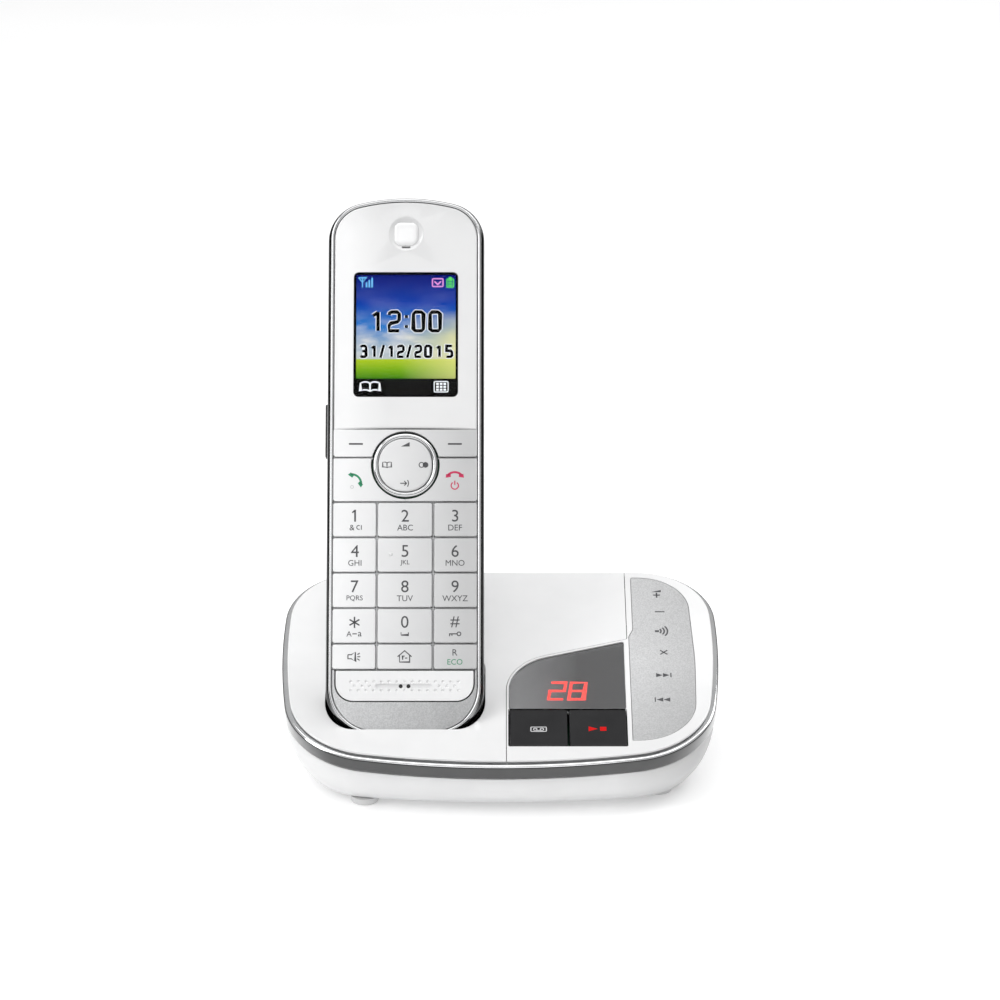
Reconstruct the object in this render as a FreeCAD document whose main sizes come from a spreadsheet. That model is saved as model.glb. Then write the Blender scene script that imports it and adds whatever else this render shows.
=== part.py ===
import FreeCAD, Part
import math
import os
import Sketcher

# A cordless phone: a handset that stands, leaning back, in a charging base with
# an answering machine.  Three working planes carry all the pieces:
#   table   X right, Y back, Z up, where the base stands
#   deck    the base's sloping top: X right, Y up the slope, Z out of the deck
#   handset X right, Y along the handset from its foot to its top, Z out of its face

Vector = FreeCAD.Vector
document = FreeCAD.newDocument("CordlessPhone")
sheet = document.addObject("Spreadsheet::Sheet", "Sizes")

# Driving dimensions in millimetres, angles in degrees.
driving = {
    # base
    "slope": 17.0,                # rise of the deck towards the back
    "rim_height": 18.86,          # table to the deck's front edge
    "deck_half": 65.0,            # half the deck's width
    "deck_depth": 89.2,           # front edge to back edge, along the slope
    "deck_widest": 55.0,          # where the deck is widest, along the slope
    "front_corner": 27.0,
    "back_corner": 22.0,
    "side_bow": 230.0,            # radius of the bowed sides
    "front_bow": 246.0,           # radius of the bowed front edge
    "cover_wall": 2.2,
    "skirt_wall": 1.6,
    "skirt_inset": 0.8,
    "rim_thick": 1.2,             # visible edge of the top covers
    "rim_groove": 0.6,            # shadow gap between the covers and the band
    "band_proud": 1.8,            # the band stands out this far past the covers
    "band_height": 5.1,
    "band_lap": 0.6,              # the band reaches this far in under the covers
    "fit_gap": 0.1,               # between fixed pieces that meet
    "case_wall": 1.8,
    "case_inset": 9.0,            # underside, in from the band's outer edge
    "case_bulge": 2.0,            # how far the tapering side swells outwards
    "floor_wall": 2.2,
    "foot_height": 2.0,
    "foot_radius": 4.2,
    "front_foot_left": -40.6,
    "front_foot_right": 47.5,
    "front_foot_set": 13.2,       # left front foot, behind the deck's front edge
    "right_foot_set": 20.7,
    "back_foot": 43.0,
    "back_foot_set": 70.0,
    # seam between the cover over the cradle and the bezel round the controls
    "seam_left": 1.7,
    "seam_right": 38.7,
    "seam_gap": 0.2,
    # display and keys on the deck
    "lens_left": 2.6,
    "lens_right": 37.7,
    "lens_low": 23.7,
    "lens_high": 55.1,            # at its right-hand corner
    "lens_fall": 17.3,            # fall of the lens's upper edge towards the left
    "lens_corner": 16.2,
    "lens_frame": 1.0,            # border of the lens, and of the seam round it
    "lens_thick": 1.2,
    "deck_key_low": 8.2,
    "deck_key_split": 20.3,
    "deck_key_gap": 0.5,
    "deck_key_thick": 3.0,
    "deck_key_stem": 2.0,
    "deck_key_flange": 0.8,
    "deck_key_play": 0.25,
    "deck_key_press": 0.7,        # room between a key's stem and the board
    "digit_left": 12.4,
    "digit_right": 28.6,
    "digit_low": 25.2,
    "digit_high": 37.6,
    # silver panel with the volume and playback controls
    "panel_left": 39.4,
    "panel_low": 9.2,
    "panel_high": 86.4,
    "panel_right": 60.4,
    "panel_thick": 1.2,
    "panel_corner": 19.5,
    "panel_crown": 17.5,
    "panel_bow": 160.0,
    "panel_middle": 50.0,
    "panel_taper": 0.8,
    "panel_jog": 1.3,             # the left edge steps in above the display
    "panel_jog_low": 57.5,
    "panel_jog_high": 61.0,
    # inside the base
    "board_thick": 1.6,
    "base_board_drop": 7.4,       # deck to the upper side of the base's board
    "base_board_left": 0.6,
    "base_board_right": 45.0,
    "base_board_low": 13.0,
    "base_board_high": 72.0,
    "base_board_corner": 6.0,
    "board_post": 2.0,
    "board_post_left": 8.0,
    "board_post_right": 41.8,
    "board_post_low": 20.0,
    "board_post_high": 66.0,
    "post_radius": 3.2,
    "post_cover_back": 67.0,      # screws, behind the deck's front edge
    "post_cover_left": -44.0,
    "post_middle": -6.0,
    "post_middle_back": 76.0,
    "post_bezel_right": 51.0,
    "post_bezel_front": 23.0,
    "post_bezel_back": 62.0,
    "boss_radius": 4.4,
    "boss_height": 6.0,
    "speaker_radius": 18.0,
    "speaker_thick": 7.8,
    "speaker_across": 27.0,
    "speaker_set": 43.0,
    "slot_width": 2.0,
    "slot_pitch": 5.0,
    "screw_radius": 1.5,
    "screw_head": 2.8,
    "screw_head_thick": 1.6,
    "screw_length": 14.0,
    "screw_sink": 2.4,
    "screw_play": 0.05,
    # sockets in the back of the base
    "socket_set": 78.0,           # mouths of the sockets, behind the front edge
    "socket_height": 11.8,
    "line_across": 33.0,
    "line_width": 13.0,
    "line_depth": 15.0,
    "line_mouth_width": 9.8,
    "line_mouth_height": 7.0,
    "power_across": 16.0,
    "power_width": 9.4,
    "power_depth": 12.0,
    "power_bore": 2.8,
    "power_pin": 1.0,
    "socket_bore_depth": 10.0,
    # how the handset stands in the base
    "lean": 29.0,                 # the handset's lean, back from upright
    "cradle_across": -28.6,       # middle of the handset, from the middle of the base
    "cradle_reach": 14.67,        # where the face meets the deck, up the slope
    "cradle_sink": 2.88,          # how far the foot of the face is under the deck
    "cradle_play": 0.35,
    "cradle_corner": 9.0,
    "liner_wall": 1.4,
    # handset shell
    "handset_width": 47.5,
    "handset_length": 165.4,
    "handset_thick": 25.0,
    "foot_corner": 13.0,
    "top_corner": 8.0,
    "crown_angle": 13.5,          # fall of the top edge from the middle to the sides
    "crown_radius": 66.0,
    "back_round": 6.0,
    "back_step": 2.0,             # the hollow steps in round the back's edge
    "shell_wall": 1.8,
    "split_depth": 8.0,           # face to the joint of back cover and frame
    "frame_drop": 2.5,            # face to the frame's front edge
    "frame_wall": 2.0,
    "frame_ledge": 2.6,
    "ledge_thick": 1.5,
    "trim_inset": 1.0,
    "trim_width": 1.0,
    "trim_proud": 0.2,
    "face_inset": 2.1,
    "face_thick": 2.2,
    # display and earpiece
    "face_low": 93.1,
    "face_corner": 0.6,
    "window_half": 15.75,
    "window_low": 103.2,
    "window_high": 141.5,
    "window_corner": 2.0,
    "window_thick": 1.2,
    "window_sink": 0.3,
    "window_ledge": 1.2,
    "ear_height": 153.45,
    "ear_dish": 5.3,
    "ear_dish_deep": 0.8,
    "ear_cap": 3.35,
    "ear_cap_thick": 0.9,
    "ear_slot_half": 1.3,
    "ear_slot_height": 0.5,
    "receiver_radius": 7.2,
    "receiver_thick": 3.6,
    # keypad
    "pad_half": 21.05,
    "column_half": 8.44,          # the lines between the columns of keys
    "row_pitch": 10.7,
    "row_top": 71.0,              # upper edge of the row 1 2 3
    "function_row": 7.85,         # height of the lowest row of keys
    "call_row": 13.55,            # height of the talk and end keys
    "pad_top": 93.0,
    "key_gap": 0.4,               # from a key's edge to its cell's line
    "key_play": 0.2,              # between a key and its window in the web
    "key_flange": 0.3,
    "key_flange_thick": 0.6,
    "key_proud": 0.2,
    "key_corner": 0.5,
    "key_press": 0.7,             # room under the keys' flanges
    "web_sink": 1.2,
    "web_thick": 1.2,
    "navigator_height": 82.25,
    "navigator_radius": 9.75,
    "navigator_key": 8.05,
    "navigator_play": 0.6,
    "navigator_proud": 0.4,
    "navigator_thick": 3.4,
    "navigator_stem": 2.5,
    "mat_thick": 1.0,
    "mat_half": 19.8,
    "board_half": 19.9,
    "board_low": 10.0,
    "board_high": 145.0,
    # lower end of the face
    "mouth_low": 10.85,
    "mouth_half": 20.8,
    "mouth_corner": 5.5,
    "mouth_hole": 0.55,
    "mouth_hole_half": 1.16,
    "mouth_hole_height": 15.5,
    "microphone_radius": 3.0,
    # back and side of the handset
    "door_half": 17.5,
    "door_low": 40.0,
    "door_high": 94.0,
    "door_thick": 1.6,
    "door_gap": 0.35,
    "cell_radius": 5.25,
    "cell_length": 44.5,
    "cell_play": 0.3,
    "ringer_height": 122.0,
    "ringer_radius": 10.0,
    "ringer_thick": 4.0,
    "jack_height": 97.0,
    "jack_depth": 13.5,           # face to the middle of the headset socket
    "jack_radius": 3.0,
    "jack_bore": 1.3,
    "jack_length": 8.0,
    "flap_low": 86.5,
    "flap_high": 102.8,
    "flap_half": 2.4,
    "flap_thick": 0.8,
    "flap_stub": 1.6,
    "flap_hole": 2.2,
    "strip_across": 9.0,
    "strip_half": 1.6,
    "strip_depth": 14.5,
    "strip_high": 2.6,
    "spring_half": 1.1,
    "spring_drop": 3.5,
    "handset_screw": 1.0,
    "handset_screw_head": 2.0,
    "handset_screw_head_thick": 1.6,
    "handset_screw_sink": 0.7,
    "handset_screw_length": 10.0,
    "handset_skin": 2.4,
    "handset_boss": 3.2,
    "screw_side": 15.0,
    "screw_low": 30.0,
    "screw_high": 104.0,
}

for row, (alias, amount) in enumerate(driving.items(), start=1):
    sheet.set(f"A{row}", alias.replace("_", " "))
    sheet.set(f"B{row}", str(amount))
    sheet.setAlias(f"B{row}", alias)
document.recompute()


class Size:
    """A size, kept together with the sheet formula that gives it."""

    def __init__(self, number, formula):
        self.number = number
        self.formula = formula

    def __add__(self, other):
        other = as_size(other)
        return Size(self.number + other.number, f"({self.formula} + {other.formula})")

    def __sub__(self, other):
        other = as_size(other)
        return Size(self.number - other.number, f"({self.formula} - {other.formula})")

    def __mul__(self, other):
        other = as_size(other)
        return Size(self.number * other.number, f"({self.formula} * {other.formula})")

    def __truediv__(self, other):
        other = as_size(other)
        return Size(self.number / other.number, f"({self.formula} / {other.formula})")

    def __neg__(self):
        return Size(-self.number, f"(-1 * {self.formula})")

    __radd__ = __add__

    def __rsub__(self, other):
        return as_size(other) - self

    def __float__(self):
        return float(self.number)


def as_size(amount):
    if isinstance(amount, Size):
        return amount
    return Size(amount, f"({amount})")


def cosine(angle):
    return Size(math.cos(math.radians(angle.number)), f"cos({angle.formula})")


def sine(angle):
    return Size(math.sin(math.radians(angle.number)), f"sin({angle.formula})")


def bind(target, path, size):
    target.setExpression(path, as_size(size).formula)


class Sheet:
    """Every alias of the sheet as a Size, read as an attribute."""

    def __getattr__(self, alias):
        return Size(float(sheet.get(alias)), f"Sizes.{alias}")


at = Sheet()
zero = Size(0, "0")


# ---- the three working planes -------------------------------------------------

meeting_angle = at.lean + at.slope      # between the handset's axis and the deck's normal
cradle_y = at.cradle_reach * cosine(at.slope) - at.cradle_sink * sine(at.lean)
cradle_z = at.rim_height + at.cradle_reach * sine(at.slope) - at.cradle_sink * cosine(at.lean)
band_top = -(at.rim_thick + at.rim_groove)
band_bottom = band_top - at.band_height

# The origin is under the middle of the whole phone: halfway between the band's
# front and the rounded upper edge of the handset's back.
phone_front = -(at.band_proud * cosine(at.slope)) - band_top * sine(at.slope)
phone_back = (cradle_y + (at.handset_length - at.back_round) * sine(at.lean)
              + (at.handset_thick - at.back_round) * cosine(at.lean) + at.back_round)
front_edge = -(phone_front + phone_back) / 2

planes = {
    "table": (zero, front_edge, zero, zero),
    "deck": (zero, front_edge, at.rim_height, at.slope),
    "handset": (at.cradle_across, front_edge + cradle_y, cradle_z, 90 - at.lean),
}

# ---- levels and places worked out from the sheet --------------------------------

case_floor = at.foot_height + at.floor_wall
underside_inset = at.case_inset - at.band_proud
deck_key_high = at.lens_low - at.deck_key_gap
cover_screws = [(at.post_cover_left, at.post_cover_back), (at.post_middle, at.post_middle_back)]
bezel_screws = [(at.post_bezel_right, at.post_bezel_front),
                (at.post_bezel_right, at.post_bezel_back)]
base_screw_places = cover_screws + bezel_screws

web_bottom = -(at.web_sink + at.web_thick)
flange_top = web_bottom - at.key_play
flange_bottom = flange_top - at.key_flange_thick
mat_top = flange_bottom - at.key_press
mat_bottom = mat_top - at.mat_thick
board_top = mat_bottom - at.fit_gap
board_bottom = board_top - at.board_thick
cells_low = at.door_low + at.shell_wall * 3
bay_ceiling = -(at.handset_thick - at.shell_wall - at.cell_radius * 2 - at.cell_play * 2)
handset_screw_places = [(x, y) for y in (at.screw_low, at.screw_high)
                        for x in (-at.screw_side, at.screw_side)]
navigator_bottom = -at.navigator_thick

bodies = []


def new_body(label, plane):
    """A body whose own XY plane is one of the three working planes."""
    body = document.addObject("PartDesign::Body", label)
    body.Label = label
    x, y, z, turn = planes[plane]
    body.Placement = FreeCAD.Placement(Vector(0, 0, 0), FreeCAD.Rotation(Vector(1, 0, 0), 1))
    bind(body, "Placement.Base.x", x)
    bind(body, "Placement.Base.y", y)
    bind(body, "Placement.Base.z", z)
    bind(body, "Placement.Rotation.Angle", turn)
    bodies.append(body)
    return body


# ---- outlines -----------------------------------------------------------------

def rectangle(left, right, low, high, radius=None):
    """Draws a rectangle whose sides, and corner radius if any, follow the sheet."""
    def draw(sketch):
        x0, x1, y0, y1 = float(left), float(right), float(low), float(high)
        cut_back = float(radius) if radius is not None else 0
        ends = [(x0 + cut_back, y0), (x1 - cut_back, y0), (x1, y0 + cut_back), (x1, y1 - cut_back),
                (x1 - cut_back, y1), (x0 + cut_back, y1), (x0, y1 - cut_back), (x0, y0 + cut_back)]
        ends = [Vector(x, y, 0) for x, y in ends]
        for side in range(4):
            sketch.addGeometry(Part.LineSegment(ends[2 * side], ends[2 * side + 1]), False)
        if radius is None:
            for side in range(4):
                joined = (side + 1) % 4
                sketch.addConstraint(Sketcher.Constraint("Coincident", side, 2, joined, 1))
        else:
            centres = [(x1 - cut_back, y0 + cut_back), (x1 - cut_back, y1 - cut_back),
                       (x0 + cut_back, y1 - cut_back), (x0 + cut_back, y0 + cut_back)]
            for corner, (x, y) in enumerate(centres):
                circle = Part.Circle(Vector(x, y, 0), Vector(0, 0, 1), cut_back)
                start = math.pi * (corner - 1) / 2
                sketch.addGeometry(Part.ArcOfCircle(circle, start, start + math.pi / 2), False)
                arc = 4 + corner
                sketch.addConstraint(Sketcher.Constraint("Tangent", corner, 2, arc, 1))
                sketch.addConstraint(Sketcher.Constraint("Tangent", arc, 2, (corner + 1) % 4, 1))
            for arc in (5, 6, 7):
                sketch.addConstraint(Sketcher.Constraint("Equal", 4, arc))
            index = sketch.addConstraint(Sketcher.Constraint("Radius", 4, cut_back))
            bind(sketch, f"Constraints[{index}]", radius)
        for side, direction in enumerate(("Horizontal", "Vertical", "Horizontal", "Vertical")):
            sketch.addConstraint(Sketcher.Constraint(direction, side))
        for side, direction, size in ((3, "DistanceX", left), (1, "DistanceX", right),
                                      (0, "DistanceY", low), (2, "DistanceY", high)):
            constraint = Sketcher.Constraint(direction, -1, 1, side, 1, float(size))
            index = sketch.addConstraint(constraint)
            bind(sketch, f"Constraints[{index}]", size)
    return draw


def discs(*circles):
    """Draws circles given as (x, y, radius)."""
    def draw(sketch):
        for x, y, radius in circles:
            centre = Vector(float(x), float(y), 0)
            circle = sketch.addGeometry(Part.Circle(centre, Vector(0, 0, 1), float(radius)), False)
            index = sketch.addConstraint(Sketcher.Constraint("Radius", circle, float(radius)))
            bind(sketch, f"Constraints[{index}]", radius)
            for direction, size in (("DistanceX", x), ("DistanceY", y)):
                constraint = Sketcher.Constraint(direction, -1, 1, circle, 3, float(size))
                index = sketch.addConstraint(constraint)
                bind(sketch, f"Constraints[{index}]", size)
    return draw


def shape(edges):
    """Draws ready-made edges, worked out from the sheet, and holds them in place."""
    def draw(sketch):
        for edge in edges:
            index = sketch.addGeometry(edge, False)
            sketch.addConstraint(Sketcher.Constraint("Block", index))
    return draw


def rounded(corners):
    """Edges of a closed outline with corners (x, y, radius), anticlockwise."""
    points = [Vector(float(x), float(y), 0) for x, y, _ in corners]
    starts = []
    stops = []
    middles = []
    for index, corner in enumerate(points):
        radius = float(corners[index][2])
        back = (points[index - 1] - corner).normalize()
        ahead = (points[(index + 1) % len(points)] - corner).normalize()
        half = back.getAngle(ahead) / 2
        reach = radius / math.tan(half)
        starts.append(corner + back * reach)
        stops.append(corner + ahead * reach)
        inward = (back + ahead).normalize()
        middles.append(corner + inward * (radius / math.sin(half) - radius))
    edges = []
    for index in range(len(points)):
        if float(corners[index][2]) > 0:
            edges.append(Part.Arc(starts[index], middles[index], stops[index]))
        following = starts[(index + 1) % len(points)]
        if (following - stops[index]).Length > 1e-6:
            edges.append(Part.LineSegment(stops[index], following))
    return edges


def grown(corners, amount):
    """The same outline with each side moved outwards, concentric at its corners."""
    amount = float(amount)
    count = len(corners)
    flat = [(float(x), float(y), float(radius)) for x, y, radius in corners]
    moved = []
    for index in range(count):
        x0, y0, _ = flat[index - 1]
        x1, y1, radius = flat[index]
        x2, y2, _ = flat[(index + 1) % count]
        before = Vector(y1 - y0, x0 - x1, 0).normalize()
        after = Vector(y2 - y1, x1 - x2, 0).normalize()
        shift = (before + after) * (amount / (1 + before.dot(after)))
        outwards = amount if before.cross(after).z > 0 else -amount
        if radius > 0:
            radius = max(radius + outwards, 0)
        moved.append((x1 + shift.x, y1 + shift.y, radius))
    return moved


def rim(half_width, depth, widest, front_corner, back_corner, grow=0):
    """The base's plan: bowed front and sides, straight back, four round corners.

    Its front point is the plane's own origin; grow moves it outwards all round.
    """
    half_width, depth, widest = float(half_width), float(depth), float(widest)
    corner, back_radius, grow = float(front_corner), float(back_corner), float(grow)
    side, front = float(at.side_bow), float(at.front_bow)
    side_centre = Vector(half_width - side, widest, 0)
    front_centre = Vector(0, front, 0)
    # centre of a front corner: inside both bows by the corner's radius
    line = front_centre - side_centre
    gap = line.Length
    near, far = side - corner, front - corner
    along = (near ** 2 - far ** 2 + gap ** 2) / (2 * gap)
    across = math.sqrt(near ** 2 - along ** 2)
    unit = line * (1 / gap)
    corner_centre = side_centre + unit * along + Vector(unit.y, -unit.x, 0) * across
    back_y = depth - back_radius
    back_x = side_centre.x + math.sqrt((side - back_radius) ** 2 - (back_y - widest) ** 2)
    back_centre = Vector(back_x, back_y, 0)

    def arc(centre, radius, first, last):
        radius = radius + grow
        points = []
        for angle in (first, (first + last) / 2, last):
            points.append(centre + Vector(math.cos(angle), math.sin(angle), 0) * radius)
        return points

    def bearing(start, end):
        return math.atan2((end - start).y, (end - start).x)

    front_angle = bearing(front_centre, corner_centre)
    side_angle = bearing(side_centre, corner_centre)
    back_angle = bearing(side_centre, back_centre)
    right = [arc(corner_centre, corner, front_angle, side_angle),
             arc(side_centre, side, side_angle, back_angle),
             arc(back_centre, back_radius, back_angle, math.pi / 2)]
    left = [[Vector(-point.x, point.y, 0) for point in reversed(points)]
            for points in reversed(right)]
    edges = [Part.Arc(left[-1][-1], Vector(0, -grow, 0), right[0][0])]
    edges += [Part.Arc(*points) for points in right]
    edges.append(Part.LineSegment(right[-1][-1], left[0][0]))
    edges += [Part.Arc(*points) for points in left]
    return edges


def deck_rim(grow=0):
    return rim(at.deck_half, at.deck_depth, at.deck_widest, at.front_corner, at.back_corner, grow)


def handset_corners(grow=0):
    """The handset's outline in its face's plane, starting at its lower left corner."""
    half = float(at.handset_width) / 2
    fall = math.radians(float(at.crown_angle))
    apex = float(at.handset_length) + float(at.crown_radius) * (1 / math.cos(fall) - 1)
    shoulder = apex - math.tan(fall) * half
    corners = [(-half, 0, at.foot_corner), (half, 0, at.foot_corner),
               (half, shoulder, at.top_corner), (0, apex, at.crown_radius),
               (-half, shoulder, at.top_corner)]
    return grown(corners, grow)


# ---- features -----------------------------------------------------------------

def draw_sketch(body, name, draw, level, plane="XY_Plane"):
    sketch = body.newObject("Sketcher::SketchObject", f"{body.Label}_{name}")
    for support in body.Origin.OriginFeatures:
        if support.Role == plane:
            sketch.AttachmentSupport = [(support, "")]
    sketch.MapMode = "FlatFace"
    bind(sketch, "AttachmentOffset.Base.z", level)
    draw(sketch)
    return sketch


def add(body, name, draw, bottom, top, plane="XY_Plane"):
    """Adds material on an outline, from level bottom to level top."""
    pad = body.newObject("PartDesign::Pad", f"{body.Label}_{name}_pad")
    pad.Profile = draw_sketch(body, name, draw, bottom, plane)
    bind(pad, "Length", top - bottom)
    body.Tip = pad
    return pad


def cut(body, name, draw, bottom, top, plane="XY_Plane"):
    """Takes material away inside an outline, from level top down to level bottom."""
    pocket = body.newObject("PartDesign::Pocket", f"{body.Label}_{name}_pocket")
    pocket.Profile = draw_sketch(body, name, draw, top, plane)
    bind(pocket, "Length", top - bottom)
    body.Tip = pocket
    return pocket


def tilt(sketch, y, z, turn):
    """Moves a sketch's plane to (y, z) in its body and turns it about X."""
    offset = FreeCAD.Placement(Vector(0, 0, 0), FreeCAD.Rotation(Vector(1, 0, 0), 1))
    sketch.AttachmentOffset = offset
    bind(sketch, "AttachmentOffset.Base.y", y)
    bind(sketch, "AttachmentOffset.Base.z", z)
    bind(sketch, "AttachmentOffset.Rotation.Angle", turn)


def plate(label, plane, draw, bottom, top):
    body = new_body(label, plane)
    add(body, "plate", draw, bottom, top)
    return body


def round_edges(body, name, radius, chosen):
    """Fillets the edges of the body's tip for which chosen(edge) is true."""
    document.recompute()
    tip = body.Tip
    edges = [f"Edge{number}" for number, edge in enumerate(tip.Shape.Edges, start=1) if chosen(edge)]
    fillet = body.newObject("PartDesign::Fillet", f"{body.Label}_{name}")
    fillet.Base = (tip, edges)
    bind(fillet, "Radius", radius)
    body.Tip = fillet
    return fillet


def lies_at(edge, level):
    box = edge.BoundBox
    return abs(box.ZMin - float(level)) < 1e-4 and abs(box.ZMax - float(level)) < 1e-4


# ---- base: covers and case ------------------------------------------------------

lens_slope = math.tan(math.radians(float(at.lens_fall)))


def lens_corners(grow=0):
    """Display lens on the deck: a slanting upper edge with one large round corner."""
    high_left = float(at.lens_high) - lens_slope * float(at.lens_right - at.lens_left)
    corners = [(at.lens_left, at.lens_low, at.key_corner), (at.lens_right, at.lens_low, at.key_corner),
               (at.lens_right, at.lens_high, at.key_corner), (at.lens_left, high_left, at.lens_corner)]
    return grown(corners, grow)


def seam_corners(gap):
    """The seam's two corners, for the edge that lies a gap to its right."""
    left = float(at.seam_left + gap)
    right = float(at.seam_right + gap)
    above = float(at.lens_frame - gap) / math.cos(math.radians(float(at.lens_fall)))
    low = float(at.lens_high) - lens_slope * (float(at.lens_right) - left) + above
    high = low + lens_slope * (right - left)
    return [(left, low, at.lens_corner + at.lens_frame - gap), (right, high, at.lens_frame)]


def left_of_seam(gap):
    reach = float(at.deck_depth * 2)
    low, high = seam_corners(gap)
    return [(-reach, -reach, 0), (low[0], -reach, 0), low, high, (high[0], reach, 0),
            (-reach, reach, 0)]


def right_of_seam():
    reach = float(at.deck_depth * 2)
    low, high = seam_corners(zero)
    return [(reach, -reach, 0), (reach, reach, 0), (high[0], reach, 0), high, low,
            (low[0], -reach, 0)]


def deck_shell(label):
    """Covers and bezel start as one shallow tray with a rim and a skirt."""
    body = new_body(label, "deck")
    add(body, "skirt", shape(deck_rim(-at.skirt_inset)), band_bottom, -at.rim_thick)
    add(body, "top", shape(deck_rim()), -at.rim_thick, zero)
    hollow = shape(deck_rim(-at.skirt_inset - at.skirt_wall))
    cut(body, "hollow", hollow, band_bottom, -at.cover_wall)
    return body


def cradle_corners(grow):
    """The cradle's section, in the handset's X and Z: its front corners are the rounder."""
    half = at.handset_width / 2
    corners = [(-half, -at.handset_thick, at.back_round), (half, -at.handset_thick, at.back_round),
               (half, zero, at.cradle_corner), (-half, zero, at.cradle_corner)]
    return grown(corners, grow)


def cradle_section(grow):
    """The cradle's section, seen along the handset's axis: y runs from face to back."""
    corners = [(x + float(at.cradle_across), -y, radius) for x, y, radius in cradle_corners(grow)]
    return shape(rounded(corners[::-1]))


def base_top_cover():
    body = deck_shell("base_top_cover")
    cut(body, "control_side", shape(rounded(right_of_seam())), band_bottom, at.rim_thick)
    reach = at.handset_length / 2
    well = cut(body, "cradle_well", cradle_section(at.cradle_play), -at.cover_wall, reach)
    tilt(well.Profile[0],
         (reach - at.cradle_sink) * sine(meeting_angle) + at.cradle_reach,
         (reach - at.cradle_sink) * cosine(meeting_angle), -meeting_angle)
    place = (at.board_post_left, at.board_post_high, at.board_post)
    add(body, "board_post", discs(place), -at.base_board_drop, -at.cover_wall)
    screw_posts(body, "posts", cover_screws)
    return body


def screw_posts(body, name, places):
    """Upright posts from the deck down to the case's bosses, bored for a screw."""
    level = case_floor + at.boss_height + at.fit_gap
    drop = level - at.rim_height
    posts = add(body, name, discs(*[(x, y, at.post_radius) for x, y in places]),
                zero, at.deck_depth)
    tilt(posts.Profile[0], drop * sine(at.slope), drop * cosine(at.slope), -at.slope)
    reach = at.deck_depth * 2
    cut(body, f"{name}_level", rectangle(-reach, reach, -reach, reach), zero, reach)
    bores = cut(body, f"{name}_bore",
                discs(*[(x, y, at.screw_radius + at.screw_play) for x, y in places]),
                zero, at.screw_length)
    bore_level = drop + at.screw_length - at.boss_height / 2
    tilt(bores.Profile[0], bore_level * sine(at.slope), bore_level * cosine(at.slope), -at.slope)


def panel_corners(grow=0):
    """The silver control panel: round towards the base's edge, stepped on its left."""
    right = at.panel_right - at.panel_taper
    upper_left = at.panel_left + at.panel_jog
    corners = [(at.panel_left, at.panel_low, at.key_corner / 2), (right, at.panel_low, at.panel_corner),
               (at.panel_right, at.panel_middle, at.panel_bow),
               (right, at.panel_high, at.panel_crown), (upper_left, at.panel_high, at.key_corner),
               (upper_left, at.panel_jog_high, at.lens_frame), (at.panel_left, at.panel_jog_low, at.lens_frame)]
    return grown(corners, grow)


def control_bezel():
    body = deck_shell("control_bezel")
    cut(body, "cover_side", shape(rounded(left_of_seam(at.seam_gap))), band_bottom, at.rim_thick)
    places = [(at.board_post_right, height, at.board_post)
              for height in (at.board_post_low, at.board_post_high)]
    add(body, "board_posts", discs(*places), -at.base_board_drop, -at.cover_wall)
    screw_posts(body, "posts", bezel_screws)
    lens_bed = -(at.lens_thick + at.seam_gap)
    cut(body, "lens_bed", shape(rounded(lens_corners(at.fit_gap))), lens_bed, zero)
    cut(body, "lens_window", shape(rounded(lens_corners(-at.lens_frame))), -at.cover_wall, lens_bed)
    keys = rectangle(at.lens_left - at.deck_key_play, at.lens_right + at.deck_key_play,
                     at.deck_key_low - at.deck_key_play, at.lens_low - at.fit_gap)
    cut(body, "key_window", keys, -at.cover_wall, zero)
    cut(body, "panel_bed", shape(rounded(panel_corners(at.fit_gap))),
        -(at.panel_thick + at.fit_gap / 2), zero)
    return body


def base_trim_band():
    body = new_body("base_trim_band", "deck")
    add(body, "outer", shape(deck_rim(at.band_proud)), band_bottom, band_top)
    cut(body, "inner", shape(deck_rim(-at.band_lap)), band_bottom, band_top)
    return body


def case_section(body, name, share, grow, rise=0):
    """One plan of the case's side: share 1 under the band, 0 at the underside."""
    inset = float(underside_inset) * (1 - share)
    seat = band_bottom - at.fit_gap
    depth = float(at.deck_depth) * share + float(at.deck_depth * cosine(at.slope)
                                                - underside_inset * 2) * (1 - share)
    widest = float(at.deck_widest) * share + float(at.deck_widest * cosine(at.slope)
                                                  - underside_inset) * (1 - share)
    edges = rim(float(at.deck_half) - inset, depth, widest, float(at.front_corner) - inset,
                float(at.back_corner) - inset, grow)
    sketch = draw_sketch(body, name, shape(edges), zero)
    tilt(sketch, (-seat * sine(at.slope)) * share + underside_inset * (1 - share),
         (at.rim_height + seat * cosine(at.slope)) * share + (at.foot_height + rise) * (1 - share),
         at.slope * share)
    return sketch


def case_loft(body, kind, name, shrink, rise):
    lap = float(at.band_proud - at.band_lap)
    sketches = []
    for step, share in (("under", 0), ("middle", 0.5), ("over", 1)):
        bulge = float(at.case_bulge) if share == 0.5 else 0
        grow = lap * share + bulge - float(shrink)
        sketches.append(case_section(body, f"{name}_{step}", share, grow, rise))
    loft = body.newObject(kind, f"{body.Label}_{name}")
    loft.Profile = sketches[0]
    loft.Sections = sketches[1:]
    body.Tip = loft
    return loft


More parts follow.
